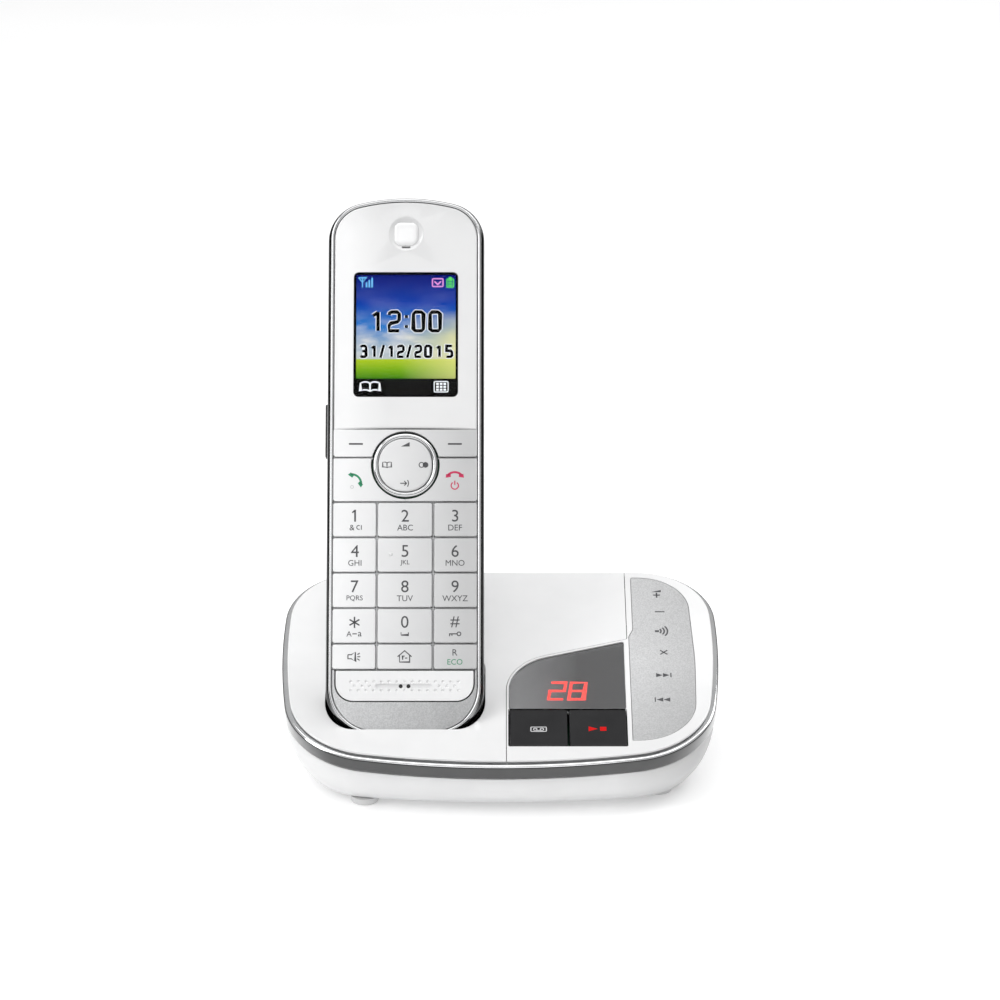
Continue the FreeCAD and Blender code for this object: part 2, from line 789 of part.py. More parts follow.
def base_lower_case():
    body = new_body("base_lower_case", "table")
    case_loft(body, "PartDesign::AdditiveLoft", "outside", 0, 0)
    case_loft(body, "PartDesign::SubtractiveLoft", "inside", at.case_wall, at.floor_wall)
    places = [(x, y, at.boss_radius) for x, y in base_screw_places]
    add(body, "bosses", discs(*places), at.foot_height + at.floor_wall / 2,
        case_floor + at.boss_height)
    places = [(x, y, at.screw_head + at.fit_gap) for x, y in base_screw_places]
    cut(body, "head_recesses", discs(*places), zero,
        at.foot_height + at.screw_sink + at.screw_head_thick)
    places = [(x, y, at.screw_radius + at.screw_play) for x, y in base_screw_places]
    cut(body, "screw_holes", discs(*places), zero, case_floor + at.boss_height)
    for name, across, width in (("line", at.line_across, at.line_width),
                                ("power", at.power_across, at.power_width)):
        mouth = rectangle(across - width / 2 - at.fit_gap, across + width / 2 + at.fit_gap,
                          case_floor, case_floor + at.socket_height + at.fit_gap)
        cut(body, f"{name}_notch", mouth, -at.deck_depth * 2, at.line_depth - at.socket_set, "XZ_Plane")
    slots = range(-2, 3)
    for slot in slots:
        middle = at.speaker_across + at.slot_pitch * slot
        drawing = rectangle(middle - at.slot_width / 2, middle + at.slot_width / 2,
                            at.speaker_set - at.speaker_radius / 2, at.speaker_set + at.speaker_radius / 2)
        cut(body, f"speaker_slot_{slot + 3}", drawing, zero, case_floor)
    return body


def base_feet():
    places = [(at.front_foot_left, at.front_foot_set, at.foot_radius),
              (at.front_foot_right, at.right_foot_set, at.foot_radius),
              (-at.back_foot, at.back_foot_set, at.foot_radius),
              (at.back_foot, at.back_foot_set, at.foot_radius)]
    return plate("base_feet", "table", discs(*places), zero, at.foot_height)


def deck_line(level):
    """Where a plane parallel to the deck, level above it, cuts the handset's YZ plane."""
    turn = math.radians(float(meeting_angle))
    along = Vector(math.sin(turn), -math.cos(turn), 0)
    out = Vector(math.cos(turn), math.sin(turn), 0)
    foot = Vector(float(at.cradle_sink), 0, 0) + out * float(level)
    reach = float(at.handset_length)
    ends = (foot - along * reach, foot + along * reach)
    above = (ends[1] + out * reach, ends[0] + out * reach)
    return [(point.x, point.y, 0) for point in ends + above]


def charge_places(grow):
    """The two charging contacts, left and right, seen along the handset's axis."""
    half = at.spring_half + grow
    places = []
    for across in (-at.strip_across, at.strip_across):
        places.append(rectangle(across - half, across + half, -at.strip_depth - half,
                                half - at.strip_depth))
    return places


def cradle_liner():
    body = new_body("cradle_liner", "handset")
    outer = at.cradle_play + at.liner_wall
    reach = at.handset_length / 2
    add(body, "outside", shape(rounded(cradle_corners(outer))), -reach, outer, "XZ_Plane")
    cut(body, "inside", shape(rounded(cradle_corners(at.cradle_play))), -reach, at.cradle_play, "XZ_Plane")
    rim_level = -(at.cover_wall + at.fit_gap)
    cut(body, "deck_side", shape(rounded(deck_line(rim_level))), -at.handset_width,
        at.handset_width, "YZ_Plane")
    for side, drawing in zip(("left", "right"), charge_places(at.fit_gap)):
        cut(body, f"{side}_contact", drawing, at.cradle_play - at.shell_wall, outer * 2, "XZ_Plane")
    return body


def charge_springs():
    body = new_body("charge_springs", "handset")
    body.AllowCompound = True
    for side, drawing in zip(("left", "right"), charge_places(zero)):
        add(body, side, drawing, at.fit_gap, at.spring_drop, "XZ_Plane")
    return body


def base_circuit_board():
    drawing = rectangle(at.base_board_left, at.base_board_right, at.base_board_low,
                        at.base_board_high, at.base_board_corner)
    bottom = -(at.base_board_drop + at.board_thick)
    return plate("base_circuit_board", "deck", drawing, bottom, -at.base_board_drop)


def base_loudspeaker():
    circle = (at.speaker_across, at.speaker_set, at.speaker_radius)
    body = plate("base_loudspeaker", "table", discs(circle), case_floor,
                 case_floor + at.speaker_thick / 2)
    magnet = (at.speaker_across, at.speaker_set, at.speaker_radius / 2)
    add(body, "magnet", discs(magnet), case_floor + at.speaker_thick / 2,
        case_floor + at.speaker_thick)
    return body


def display_window():
    top = -(at.seam_gap / 2)
    return plate("display_window", "deck", shape(rounded(lens_corners())), top - at.lens_thick, top)


def led_module():
    drawing = rectangle(at.digit_left, at.digit_right, at.digit_low, at.digit_high, at.key_corner)
    top = -(at.lens_thick + at.seam_gap * 2)
    return plate("led_module", "deck", drawing, -at.base_board_drop, top)


def deck_key(label, left, right):
    """A long key under the display: cap, flanges under the bezel and a stem to its switch."""
    body = new_body(label, "deck")
    cap_bottom = -at.deck_key_thick
    flange_low = at.deck_key_low - at.deck_key_flange
    flange_high = deck_key_high + at.deck_key_flange
    flange_top = -(at.cover_wall + at.seam_gap)
    add(body, "flange", rectangle(left, right, flange_low, flange_high), cap_bottom, flange_top)
    cap = rectangle(left, right, at.deck_key_low, deck_key_high, at.key_corner)
    add(body, "cap", cap, cap_bottom, zero)
    stem = ((left + right) / 2, (at.deck_key_low + deck_key_high) / 2, at.deck_key_stem)
    add(body, "stem", discs(stem), at.deck_key_press - at.base_board_drop, cap_bottom)
    return body


def control_panel():
    return plate("control_panel", "deck", shape(rounded(panel_corners())), -at.panel_thick, zero)


def socket(label, across, width, depth):
    """A socket housing that stands on the case's floor, its mouth to the back."""
    body = new_body(label, "table")
    outside = rectangle(across - width / 2, across + width / 2, case_floor,
                        case_floor + at.socket_height)
    add(body, "housing", outside, -at.socket_set, depth - at.socket_set, "XZ_Plane")
    return body


def line_jack():
    body = socket("line_jack", at.line_across, at.line_width, at.line_depth)
    middle = case_floor + at.socket_height / 2
    mouth = rectangle(at.line_across - at.line_mouth_width / 2, at.line_across + at.line_mouth_width / 2,
                      middle - at.line_mouth_height / 2, middle + at.line_mouth_height / 2)
    cut(body, "mouth", mouth, -at.socket_set, at.socket_bore_depth - at.socket_set, "XZ_Plane")
    return body


def dc_jack():
    body = socket("dc_jack", at.power_across, at.power_width, at.power_depth)
    middle = case_floor + at.socket_height / 2
    inner = at.socket_bore_depth - at.socket_set
    cut(body, "mouth", discs((at.power_across, middle, at.power_bore)), -at.socket_set, inner,
        "XZ_Plane")
    add(body, "pin", discs((at.power_across, middle, at.power_pin)), at.power_pin - at.socket_set,
        inner, "XZ_Plane")
    return body


def base_screws():
    body = new_body("base_screws", "table")
    body.AllowCompound = True
    head_low = at.foot_height + at.screw_sink
    head_high = head_low + at.screw_head_thick - at.fit_gap
    add(body, "heads", discs(*[(x, y, at.screw_head) for x, y in base_screw_places]), head_low, head_high)
    add(body, "shafts", discs(*[(x, y, at.screw_radius) for x, y in base_screw_places]), head_high,
        head_low + at.screw_length)
    return body


# ---- handset: shell and face ------------------------------------------------------

def handset_outline(grow=0):
    return shape(rounded(handset_corners(grow)))


def handset_back_cover():
    body = new_body("handset_back_cover", "handset")
    add(body, "outside", handset_outline(), -at.handset_thick, -at.split_depth)
    round_edges(body, "back_round", at.back_round, lambda edge: lies_at(edge, -at.handset_thick))
    # hollowed in two steps, so that the wall keeps its thickness round the back's edge
    wall = at.shell_wall
    cut(body, "hollow", handset_outline(-wall), at.back_round - at.handset_thick, -at.split_depth)
    cut(body, "hollow_back", handset_outline(-(wall + at.back_step)), wall - at.handset_thick,
        at.back_round - at.handset_thick)
    # battery bay, open at the back under its door
    bay_half = at.cell_radius * 2 + at.cell_play * 2
    bay_low = cells_low - at.cell_play
    bay_high = bay_low + at.cell_length + at.cell_play * 2
    bay_top = bay_ceiling + at.shell_wall / 2
    seat = at.door_gap + wall
    add(body, "door_seat", rectangle(-at.door_half - seat, at.door_half + seat, at.door_low - seat,
                                     at.door_high + seat),
        -(at.handset_thick - wall / 2), wall * 2 - at.handset_thick)
    add(body, "bay", rectangle(-bay_half - wall, bay_half + wall, bay_low - wall, bay_high + wall),
        -(at.handset_thick - at.shell_wall / 2), bay_top)
    cut(body, "bay_inside", rectangle(-bay_half, bay_half, bay_low, bay_high),
        -at.handset_thick, bay_ceiling)
    cut(body, "door_bed", rectangle(-at.door_half - at.door_gap, at.door_half + at.door_gap,
                                    at.door_low - at.door_gap, at.door_high + at.door_gap),
        -at.handset_thick, -(at.handset_thick - at.shell_wall))
    # side hole and slot for the headset socket, ringer slots, contact slots
    side = at.handset_width / 2
    cut(body, "jack_hole", discs((at.jack_height, -at.jack_depth, at.flap_hole)),
        -side - at.fit_gap, -side + at.shell_wall + at.fit_gap, "YZ_Plane")
    for slot in (-1, 0, 1):
        height = at.ringer_height + at.slot_pitch * slot
        drawing = rectangle(-at.ringer_radius / 2, at.ringer_radius / 2, height - at.slot_width / 2,
                            height + at.slot_width / 2)
        cut(body, f"ringer_slot_{slot + 2}", drawing, -at.handset_thick,
            -(at.handset_thick - at.shell_wall))
    for side_name, drawing in zip(("left", "right"), strip_places(at.fit_gap)):
        cut(body, f"{side_name}_strip", drawing, -at.strip_high - at.fit_gap, at.fit_gap, "XZ_Plane")
    # screw bosses up to the circuit board
    skin = at.handset_skin - at.handset_thick
    add(body, "bosses", discs(*[(x, y, at.handset_boss) for x, y in handset_screw_places]),
        -(at.handset_thick - at.shell_wall / 2), board_bottom - at.fit_gap)
    cut(body, "head_recesses",
        discs(*[(x, y, at.handset_screw_head + at.fit_gap * 2) for x, y in handset_screw_places]),
        -at.handset_thick, skin)
    cut(body, "screw_holes",
        discs(*[(x, y, at.handset_screw + at.screw_play) for x, y in handset_screw_places]),
        -at.handset_thick, board_bottom)
    return body


def strip_places(grow):
    half = at.strip_half + grow
    places = []
    for across in (-at.strip_across, at.strip_across):
        places.append(rectangle(across - half, across + half, -at.strip_depth - half,
                                half - at.strip_depth))
    return places


def handset_frame():
    body = new_body("handset_frame", "handset")
    bottom = -(at.split_depth - at.fit_gap)
    add(body, "outside", handset_outline(), bottom, -at.frame_drop)
    ledge_bottom = -(at.frame_drop + at.ledge_thick)
    cut(body, "inside", handset_outline(-at.frame_wall), bottom, ledge_bottom)
    cut(body, "opening", handset_outline(-at.frame_ledge), ledge_bottom, -at.frame_drop)
    return body


def handset_trim_ring():
    body = new_body("handset_trim_ring", "handset")
    bottom = at.fit_gap - at.frame_drop
    add(body, "outside", handset_outline(-at.trim_inset), bottom, at.trim_proud)
    cut(body, "inside", handset_outline(-(at.trim_inset + at.trim_width)), bottom, at.trim_proud)
    return body


def handset_front_panel():
    corners = handset_corners(-at.face_inset)
    for index in (0, 1):
        corners[index] = (corners[index][0], at.face_low, at.face_corner)
    body = plate("handset_front_panel", "handset", shape(rounded(corners)), -at.face_thick, zero)
    bed = -(at.window_thick + at.window_sink)
    play = at.fit_gap
    cut(body, "window_bed", window_rectangle(play), bed, zero)
    cut(body, "window_hole", window_rectangle(-at.window_ledge), -at.face_thick, bed)
    ear = discs((zero, at.ear_height, at.ear_dish))
    cut(body, "ear_dish", ear, -at.ear_dish_deep, zero)
    slot_middle = at.ear_height - (at.ear_cap + at.ear_dish) / 2
    slot = rectangle(-at.ear_slot_half, at.ear_slot_half, slot_middle - at.ear_slot_height / 2,
                     slot_middle + at.ear_slot_height / 2)
    cut(body, "ear_slot", slot, -at.face_thick, -at.ear_dish_deep)
    return body


def window_rectangle(grow):
    return rectangle(-(at.window_half + grow), at.window_half + grow, at.window_low - grow,
                     at.window_high + grow, at.window_corner)


def lcd_window():
    return plate("lcd_window", "handset", window_rectangle(zero),
                 -(at.window_thick + at.window_sink), -at.window_sink)


def lcd_module():
    return plate("lcd_module", "handset", window_rectangle(at.window_ledge), board_top,
                 -(at.face_thick + at.fit_gap))


def earpiece_cap():
    cap = rectangle(-at.ear_cap, at.ear_cap, at.ear_height - at.ear_cap, at.ear_height + at.ear_cap,
                    at.window_corner)
    return plate("earpiece_cap", "handset", cap, -at.ear_dish_deep, at.ear_cap_thick - at.ear_dish_deep)


def earpiece_speaker():
    top = -(at.face_thick + at.fit_gap)
    circle = (zero, at.ear_height, at.receiver_radius)
    return plate("earpiece_speaker", "handset", discs(circle), top - at.receiver_thick, top)


# ---- handset: keypad -------------------------------------------------------------

def grid_column(column):
    """Left and right lines of a column of keys: 0, 1 and 2 from the left."""
    lines = (-at.pad_half, -at.column_half, at.column_half, at.pad_half)
    return lines[column], lines[column + 1]


def grid_row(row):
    """Lower and upper lines of a row: 0 is 1 2 3, 3 is star 0 hash, 4 the lowest."""
    high = at.row_top - at.row_pitch * row
    if row == 4:
        return high - at.function_row, high
    return high - at.row_pitch, high


call_high = at.row_top + at.call_row
key_cells = {
    "softkey_left": (-at.pad_half, -at.key_play / 2, call_high, at.pad_top + at.key_gap),
    "softkey_right": (at.key_play / 2, at.pad_half, call_high, at.pad_top + at.key_gap),
    "talk_key": (-at.pad_half, -at.key_play / 2, at.row_top, call_high),
    "end_key": (at.key_play / 2, at.pad_half, at.row_top, call_high),
}
for number in range(9):
    key_cells[f"key_{number + 1}"] = grid_column(number % 3) + grid_row(number // 3)
for column, label in enumerate(("key_star", "key_0", "key_hash")):
    key_cells[label] = grid_column(column) + grid_row(3)
for column, label in enumerate(("speaker_key", "intercom_key", "recall_key")):
    key_cells[label] = grid_column(column) + grid_row(4)
around_navigator = ("softkey_left", "softkey_right", "talk_key", "end_key")


def cap_sides(label):
    """Left, right, low and high sides of a key's cap."""
    left, right, low, high = key_cells[label]
    inner = at.key_gap
    if label in ("softkey_left", "talk_key"):
        return left + inner, right, low + inner, high - inner
    if label in ("softkey_right", "end_key"):
        return left, right - inner, low + inner, high - inner
    return left + inner, right - inner, low + inner, high - inner


def handset_key(label):
    """A key's cap, with a flange that the web keeps it in by."""
    left, right, low, high = cap_sides(label)
    body = new_body(label, "handset")
    rim_width = at.key_flange
    if label in around_navigator:
        # meets its neighbour in the middle, so no flange on that side
        outer_left = left - rim_width if "left" in label or label == "talk_key" else left
        outer_right = right + rim_width if "right" in label or label == "end_key" else right
        flange = rectangle(outer_left, outer_right, low - rim_width, high + rim_width)
    else:
        flange = rectangle(left - rim_width, right + rim_width, low - rim_width, high + rim_width)
    add(body, "flange", flange, flange_bottom, flange_top)
    corner = None if label in around_navigator else at.key_corner
    add(body, "cap", rectangle(left, right, low, high, corner), flange_top, at.key_proud)
    if label in around_navigator:
        clear = (zero, at.navigator_height, at.navigator_radius + at.navigator_play)
        cut(body, "navigator_side", discs(clear), flange_bottom, at.key_proud)
    return body


def keypad_web():
    low = float(grid_row(4)[0] + at.fit_gap)
    half = float(at.handset_width / 2 - at.face_inset)
    outline = [(-half, low, 0), (half, low, 0), (half, float(at.pad_top), 0), (-half, float(at.pad_top), 0)]
    body = plate("keypad_web", "handset", shape(rounded(outline)), web_bottom, -at.web_sink)
    for label in key_cells:
        left, right, bottom, top = cap_sides(label)
        play = at.key_play
        window = rectangle(left - play, right + play, bottom - play, top + play)
        cut(body, f"{label}_window", window, web_bottom, -at.web_sink)
    opening = (zero, at.navigator_height, at.navigator_radius + at.navigator_play / 2)
    cut(body, "navigator_window", discs(opening), web_bottom, -at.web_sink)
    return body


def key_mat():
    body = plate("key_mat", "handset",
                 rectangle(-at.mat_half, at.mat_half, grid_row(4)[0] + at.key_gap, at.pad_top - at.key_gap,
                           at.window_corner), mat_bottom, mat_top)
    opening = (zero, at.navigator_height, at.navigator_radius + at.navigator_play * 2)
    cut(body, "navigator_hole", discs(opening), mat_bottom, mat_top)
    return body


def handset_circuit_board():
    drawing = rectangle(-at.board_half, at.board_half, at.board_low, at.board_high, at.back_round)
    return plate("handset_circuit_board", "handset", drawing, board_bottom, board_top)


def navigator_key():
    circle = (zero, at.navigator_height, at.navigator_key)
    return plate("navigator_key", "handset", discs(circle), navigator_bottom, at.navigator_proud * 1.5)


def navigator_ring():
    outer = (zero, at.navigator_height, at.navigator_radius)
    inner = (zero, at.navigator_height, at.navigator_key + at.fit_gap)
    body = plate("navigator_ring", "handset", discs(outer), navigator_bottom, at.navigator_proud)
    cut(body, "inside", discs(inner), navigator_bottom, at.navigator_proud)
    return body


def navigator_stem():
    circle = (zero, at.navigator_height, at.navigator_stem)
    return plate("navigator_stem", "handset", discs(circle), board_top + at.key_play,
                 navigator_bottom - at.key_play)


# ---- handset: lower end, back and inside --------------------------------------------

def mouthpiece_panel():
    high = grid_row(4)[0]
    corners = [(-at.mouth_half, at.mouth_low, at.mouth_corner), (at.mouth_half, at.mouth_low, at.mouth_corner),
               (at.mouth_half, high, 0), (-at.mouth_half, high, 0)]
    body = plate("mouthpiece_panel", "handset", shape(rounded(corners)), -at.face_thick, zero)
    holes = [(side, at.mouth_hole_height, at.mouth_hole)
             for side in (-at.mouth_hole_half, at.mouth_hole_half)]
    cut(body, "holes", discs(*holes), -at.face_thick, zero)
    return body


def handset_chin():
    inset = at.face_inset
    foot = handset_corners(-inset)[:2]
    half = float(at.handset_width / 2 - inset)
    mouth = float(at.mouth_half + at.fit_gap * 2)
    shelf = float(at.mouth_low - at.fit_gap * 2)
    high = float(grid_row(4)[0])
    corner = at.mouth_corner + at.fit_gap * 2
    outline = foot + [(half, high, 0), (mouth, high, 0), (mouth, shelf, corner),
                      (-mouth, shelf, corner), (-mouth, high, 0), (-half, high, 0)]
    return plate("handset_chin", "handset", shape(rounded(outline)), -at.face_thick, zero)


def microphone():
    circle = (zero, at.mouth_hole_height, at.microphone_radius)
    return plate("microphone", "handset", discs(circle), board_top, -(at.face_thick + at.fit_gap))


def battery_door():
    drawing = rectangle(-at.door_half, at.door_half, at.door_low, at.door_high, at.key_corner)
    return plate("battery_door", "handset", drawing, -at.handset_thick,
                 at.door_thick - at.handset_thick)


def batteries():
    body = new_body("batteries", "handset")
    body.AllowCompound = True
    depth = bay_ceiling - at.cell_radius - at.cell_play
    cells = [(side, depth, at.cell_radius)
             for side in (-(at.cell_radius + at.cell_play / 2), at.cell_radius + at.cell_play / 2)]
    add(body, "cells", discs(*cells), -(cells_low + at.cell_length), -cells_low, "XZ_Plane")
    return body


def charge_strips():
    body = new_body("charge_strips", "handset")
    body.AllowCompound = True
    for side, drawing in zip(("left", "right"), strip_places(zero)):
        add(body, side, drawing, -at.strip_high, zero, "XZ_Plane")
    return body


def headset_cover():
    outer = at.handset_width / 2 + at.flap_thick + at.fit_gap
    inner = at.handset_width / 2 + at.fit_gap
    body = plate("headset_cover", "handset",
                 rectangle(-outer, -inner, at.flap_low, at.flap_high, at.flap_thick / 2 - at.screw_play),
                 -(at.jack_depth + at.flap_half), at.flap_half - at.jack_depth)
    stub = (at.jack_height, -at.jack_depth, at.flap_stub)
    add(body, "stub", discs(stub), -inner - at.flap_thick / 2, -inner + at.shell_wall, "YZ_Plane")
    return body


def headset_socket():
    body = new_body("headset_socket", "handset")
    mouth = at.handset_width / 2 - at.shell_wall - at.fit_gap
    circle = (at.jack_height, -at.jack_depth, at.jack_radius)
    add(body, "housing", discs(circle), -mouth, at.jack_length - mouth, "YZ_Plane")
    bore = (at.jack_height, -at.jack_depth, at.jack_bore)
    cut(body, "bore", discs(bore), -mouth, at.jack_length - at.jack_bore - mouth, "YZ_Plane")
    return body


def ringer_speaker():
    bottom = -(at.handset_thick - at.shell_wall - at.fit_gap)
    circle = (zero, at.ringer_height, at.ringer_radius)
    return plate("ringer_speaker", "handset", discs(circle), bottom, bottom + at.ringer_thick)


def handset_screws():
    body = new_body("handset_screws", "handset")
    body.AllowCompound = True
    low = at.handset_screw_sink - at.handset_thick
    high = low + at.handset_screw_head_thick
    places = handset_screw_places
    add(body, "heads", discs(*[(x, y, at.handset_screw_head) for x, y in places]), low, high)
    add(body, "shafts", discs(*[(x, y, at.handset_screw) for x, y in places]), high,
        high + at.handset_screw_length)
    return body


# ---- the whole phone ---------------------------------------------------------------

for make in (base_top_cover, control_bezel, base_trim_band, base_lower_case, base_feet,
             cradle_liner, charge_springs, base_circuit_board, base_loudspeaker,
             display_window, led_module, control_panel, line_jack, dc_jack, base_screws,
             handset_back_cover, handset_frame, handset_trim_ring, handset_front_panel,
             lcd_window, lcd_module, earpiece_cap, earpiece_speaker, keypad_web, key_mat,
             handset_circuit_board, navigator_stem, navigator_key, navigator_ring,
             mouthpiece_panel, handset_chin, microphone, battery_door, batteries,
             charge_strips, headset_cover, headset_socket, ringer_speaker, handset_screws):
    make()
half_split = at.deck_key_gap / 2
deck_key("answer_key", at.lens_left, at.deck_key_split - half_split)
deck_key("play_key", at.deck_key_split + half_split, at.lens_right)
for label in key_cells:
    handset_key(label)

document.recompute()
for item in document.Objects:
    if "Invalid" in item.State or "Error" in item.State:
        raise RuntimeError(f"{item.Name} failed: {item.State}")
for body in bodies:
    if body.Shape.isNull() or not body.Shape.isValid():
        raise RuntimeError(f"{body.Label} has no valid shape")

os.makedirs("parts", exist_ok=True)
for body in bodies:
    body.Shape.exportStep(f"parts/{body.Label}.step")
    print(f"{body.Label}: {len(body.Shape.Solids)} solids, {body.Shape.Volume:.1f} mm3")
print(f"{len(bodies)} pieces")
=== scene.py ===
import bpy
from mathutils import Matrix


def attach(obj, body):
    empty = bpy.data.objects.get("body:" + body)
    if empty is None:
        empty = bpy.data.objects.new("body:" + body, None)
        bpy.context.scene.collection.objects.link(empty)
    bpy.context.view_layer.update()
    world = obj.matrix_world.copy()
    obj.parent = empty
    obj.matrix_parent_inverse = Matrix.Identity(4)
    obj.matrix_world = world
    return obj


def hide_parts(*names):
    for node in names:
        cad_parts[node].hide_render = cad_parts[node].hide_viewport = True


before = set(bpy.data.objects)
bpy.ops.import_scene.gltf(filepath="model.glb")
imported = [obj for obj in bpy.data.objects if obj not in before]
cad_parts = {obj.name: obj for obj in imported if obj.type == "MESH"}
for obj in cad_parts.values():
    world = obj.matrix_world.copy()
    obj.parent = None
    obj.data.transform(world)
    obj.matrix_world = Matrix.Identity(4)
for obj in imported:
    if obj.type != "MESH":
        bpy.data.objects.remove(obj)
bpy.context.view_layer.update()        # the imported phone: its bodies, nodes, joints and record

from math import atan2, ceil, copysign, cos, degrees, pi, radians, sin, sqrt, tan

import bmesh
import bpy
from mathutils import Matrix, Vector

# Every piece is modelled flat, in millimetres, on the plane it belongs to, and is
# then set into place: the table, the sloping deck of the base, the leaning face of
# the handset, and the two planes at right angles to that face.
mm = 0.001
place = {
    "slope": 17.0,              # the deck's rise towards the back
    "lean": 29.0,               # the handset, back from upright
    "deckFront": -55.667,       # front edge of the deck
    "deckHeight": 18.86,
    "handset": (-28.6, -43.034, 20.630),   # foot of the handset's face
}


def planeAt(x, y, z, turn):
    moved = Matrix.Translation(Vector((x, y, z)) * mm)
    return moved @ Matrix.Rotation(radians(turn), 4, "X") @ Matrix.Scale(mm, 4)


tablePlane = planeAt(0, place["deckFront"], 0, 0)
deckPlane = planeAt(0, place["deckFront"], place["deckHeight"], place["slope"])
facePlane = planeAt(*place["handset"], 90 - place["lean"])
wellPlane = facePlane @ Matrix.Rotation(radians(-90), 4, "X")   # across, face to back, up the handset
sidePlane = facePlane @ Matrix(((0, 0, -1, 0), (-1, 0, 0, 0), (0, 1, 0, 0), (0, 0, 0, 1)))
backPlane = planeAt(0, place["deckFront"], 0, 90)               # across, up, towards the front


# outlines, anticlockwise

def arcAround(centre, radius, first, last, steps):
    x, y = centre
    turns = [radians(first + (last - first) * step / steps) for step in range(steps + 1)]
    return [(x + radius * cos(turn), y + radius * sin(turn)) for turn in turns]


def bearing(start, end):
    return degrees(atan2(end[1] - start[1], end[0] - start[0]))


def discOutline(x, y, radius, steps=48, square=2.0):
    # square above 2 swells the disc towards a rounded square
    turns = [2 * pi * step / steps for step in range(steps)]
    return [(x + radius * copysign(abs(cos(turn)) ** (2 / square), cos(turn)),
             y + radius * copysign(abs(sin(turn)) ** (2 / square), sin(turn))) for turn in turns]


def roundOutline(corners, turn=9, stretch=2.0):
    # corners are (x, y, radius); each round one becomes a run of short steps
    points = []
    for index, (x, y, radius) in enumerate(corners):
        corner = Vector((x, y))
        back = (Vector(corners[index - 1][:2]) - corner).normalized()
        ahead = (Vector(corners[(index + 1) % len(corners)][:2]) - corner).normalized()
        if radius <= 0:
            points.append((x, y))
            continue
        half = back.angle(ahead) / 2
        centre = corner + (back + ahead).normalized() * (radius / sin(half))
        first = bearing(centre, corner + back * (radius / tan(half)))
        sweep = 180 - 2 * degrees(half)
        steps = max(2, ceil(sweep / turn), ceil(radians(sweep) * radius / stretch))
        if back.x * ahead.y - back.y * ahead.x > 0:      # a hollow corner
            sweep = -sweep
        points += arcAround(centre, radius, first, first + sweep, steps)
    return points


def boxOutline(left, right, low, high, radius=0, turn=9):
    corners = [(left, low, radius), (right, low, radius), (right, high, radius), (left, high, radius)]
    return roundOutline(corners, turn)


def areaOutline(area, out, radius, turn=9):
    # a box round the middle line, from the dictionary of the piece
    return boxOutline(-area["half"] - out, area["half"] + out, area["low"] - out, area["high"] + out,
                      radius, turn)


def grow(points, amount):
    # moves each side outwards by the same amount
    moved = []
    for index, (x, y) in enumerate(points):
        xBefore, yBefore = points[index - 1]
        xAfter, yAfter = points[(index + 1) % len(points)]
        before = Vector((y - yBefore, xBefore - x)).normalized()
        after = Vector((yAfter - y, x - xAfter)).normalized()
        shift = (before + after) * (amount / (1 + before.dot(after)))
        moved.append((x + shift.x, y + shift.y))
    return moved


# modelling

def pickOnly(*chosen):
    bpy.ops.object.select_all(action="DESELECT")
    for piece in chosen:
        piece.select_set(True)
    bpy.context.view_layer.objects.active = chosen[0]


def faceOutwards(piece):
    bpy.ops.mesh.select_all(action="SELECT")
    bpy.ops.mesh.normals_make_consistent(inside=False)
    if bmesh.from_edit_mesh(piece.data).calc_volume(signed=True) < 0:
        bpy.ops.mesh.flip_normals()
    bpy.ops.object.mode_set(mode="OBJECT")


def layLoop(piece, places):
    mesh = bmesh.from_edit_mesh(piece.data)
    picked = [vertex for vertex in mesh.verts if vertex.select]
    for vertex, spot in zip(picked, places):
        vertex.co = spot
    bmesh.update_edit_mesh(piece.data)


def loft(name, loops):
    # a disc, extruded from loop to loop and closed by its last face
    bpy.ops.object.select_all(action="DESELECT")
    bpy.ops.mesh.primitive_circle_add(vertices=len(loops[0]), fill_type="NGON")
    piece = bpy.context.object
    piece.name = name
    piece.data.name = name
    bpy.ops.object.mode_set(mode="EDIT")
    bpy.ops.mesh.select_all(action="SELECT")
    layLoop(piece, loops[0])
    for loop in loops[1:]:
        bpy.ops.mesh.extrude_region_move()
        layLoop(piece, loop)
    faceOutwards(piece)
    return piece


def loftProfile(name, outline, profile):
    # profile is a list of (outwards, level), from the lowest loop to the highest
    return loft(name, [[(x, y, level) for x, y in grow(outline, out)] for out, level in profile])


def edgeProfile(low, high, over, under, steps=3):
    profile = []
    for radius, level, sign in ((under, low, 1), (over, high, -1)):
        if radius <= 0:
            profile.append((0, level))
            continue
        turns = [radians(90 * step / steps) for step in range(steps + 1)]
        curve = [(-radius * (1 - sin(turn)), level + sign * radius * (1 - cos(turn)))
                 for turn in turns]
        profile += curve if sign > 0 else curve[::-1]
    return profile


def slab(name, outline, low, high, over=0.25, under=0.0, steps=3):
    return loftProfile(name, outline, edgeProfile(low, high, over, under, steps))


def hoop(name, outline, profile):
    # a ring tube, laid round the outline with its own section
    bpy.ops.object.select_all(action="DESELECT")
    bpy.ops.mesh.primitive_torus_add(major_segments=len(outline), minor_segments=len(profile))
    piece = bpy.context.object
    piece.name = name
    piece.data.name = name
    bpy.ops.object.mode_set(mode="EDIT")
    bpy.ops.mesh.select_all(action="SELECT")
    rings = [grow(outline, out) for out, level in profile]
    places = [(*rings[step][spot], profile[step][1])
              for spot in range(len(outline)) for step in range(len(profile))]
    layLoop(piece, places)
    faceOutwards(piece)
    return piece


def join(name, parts):
    pickOnly(*parts)
    if len(parts) > 1:
        bpy.ops.object.join()
    parts[0].name = name
    parts[0].data.name = name
    return parts[0]


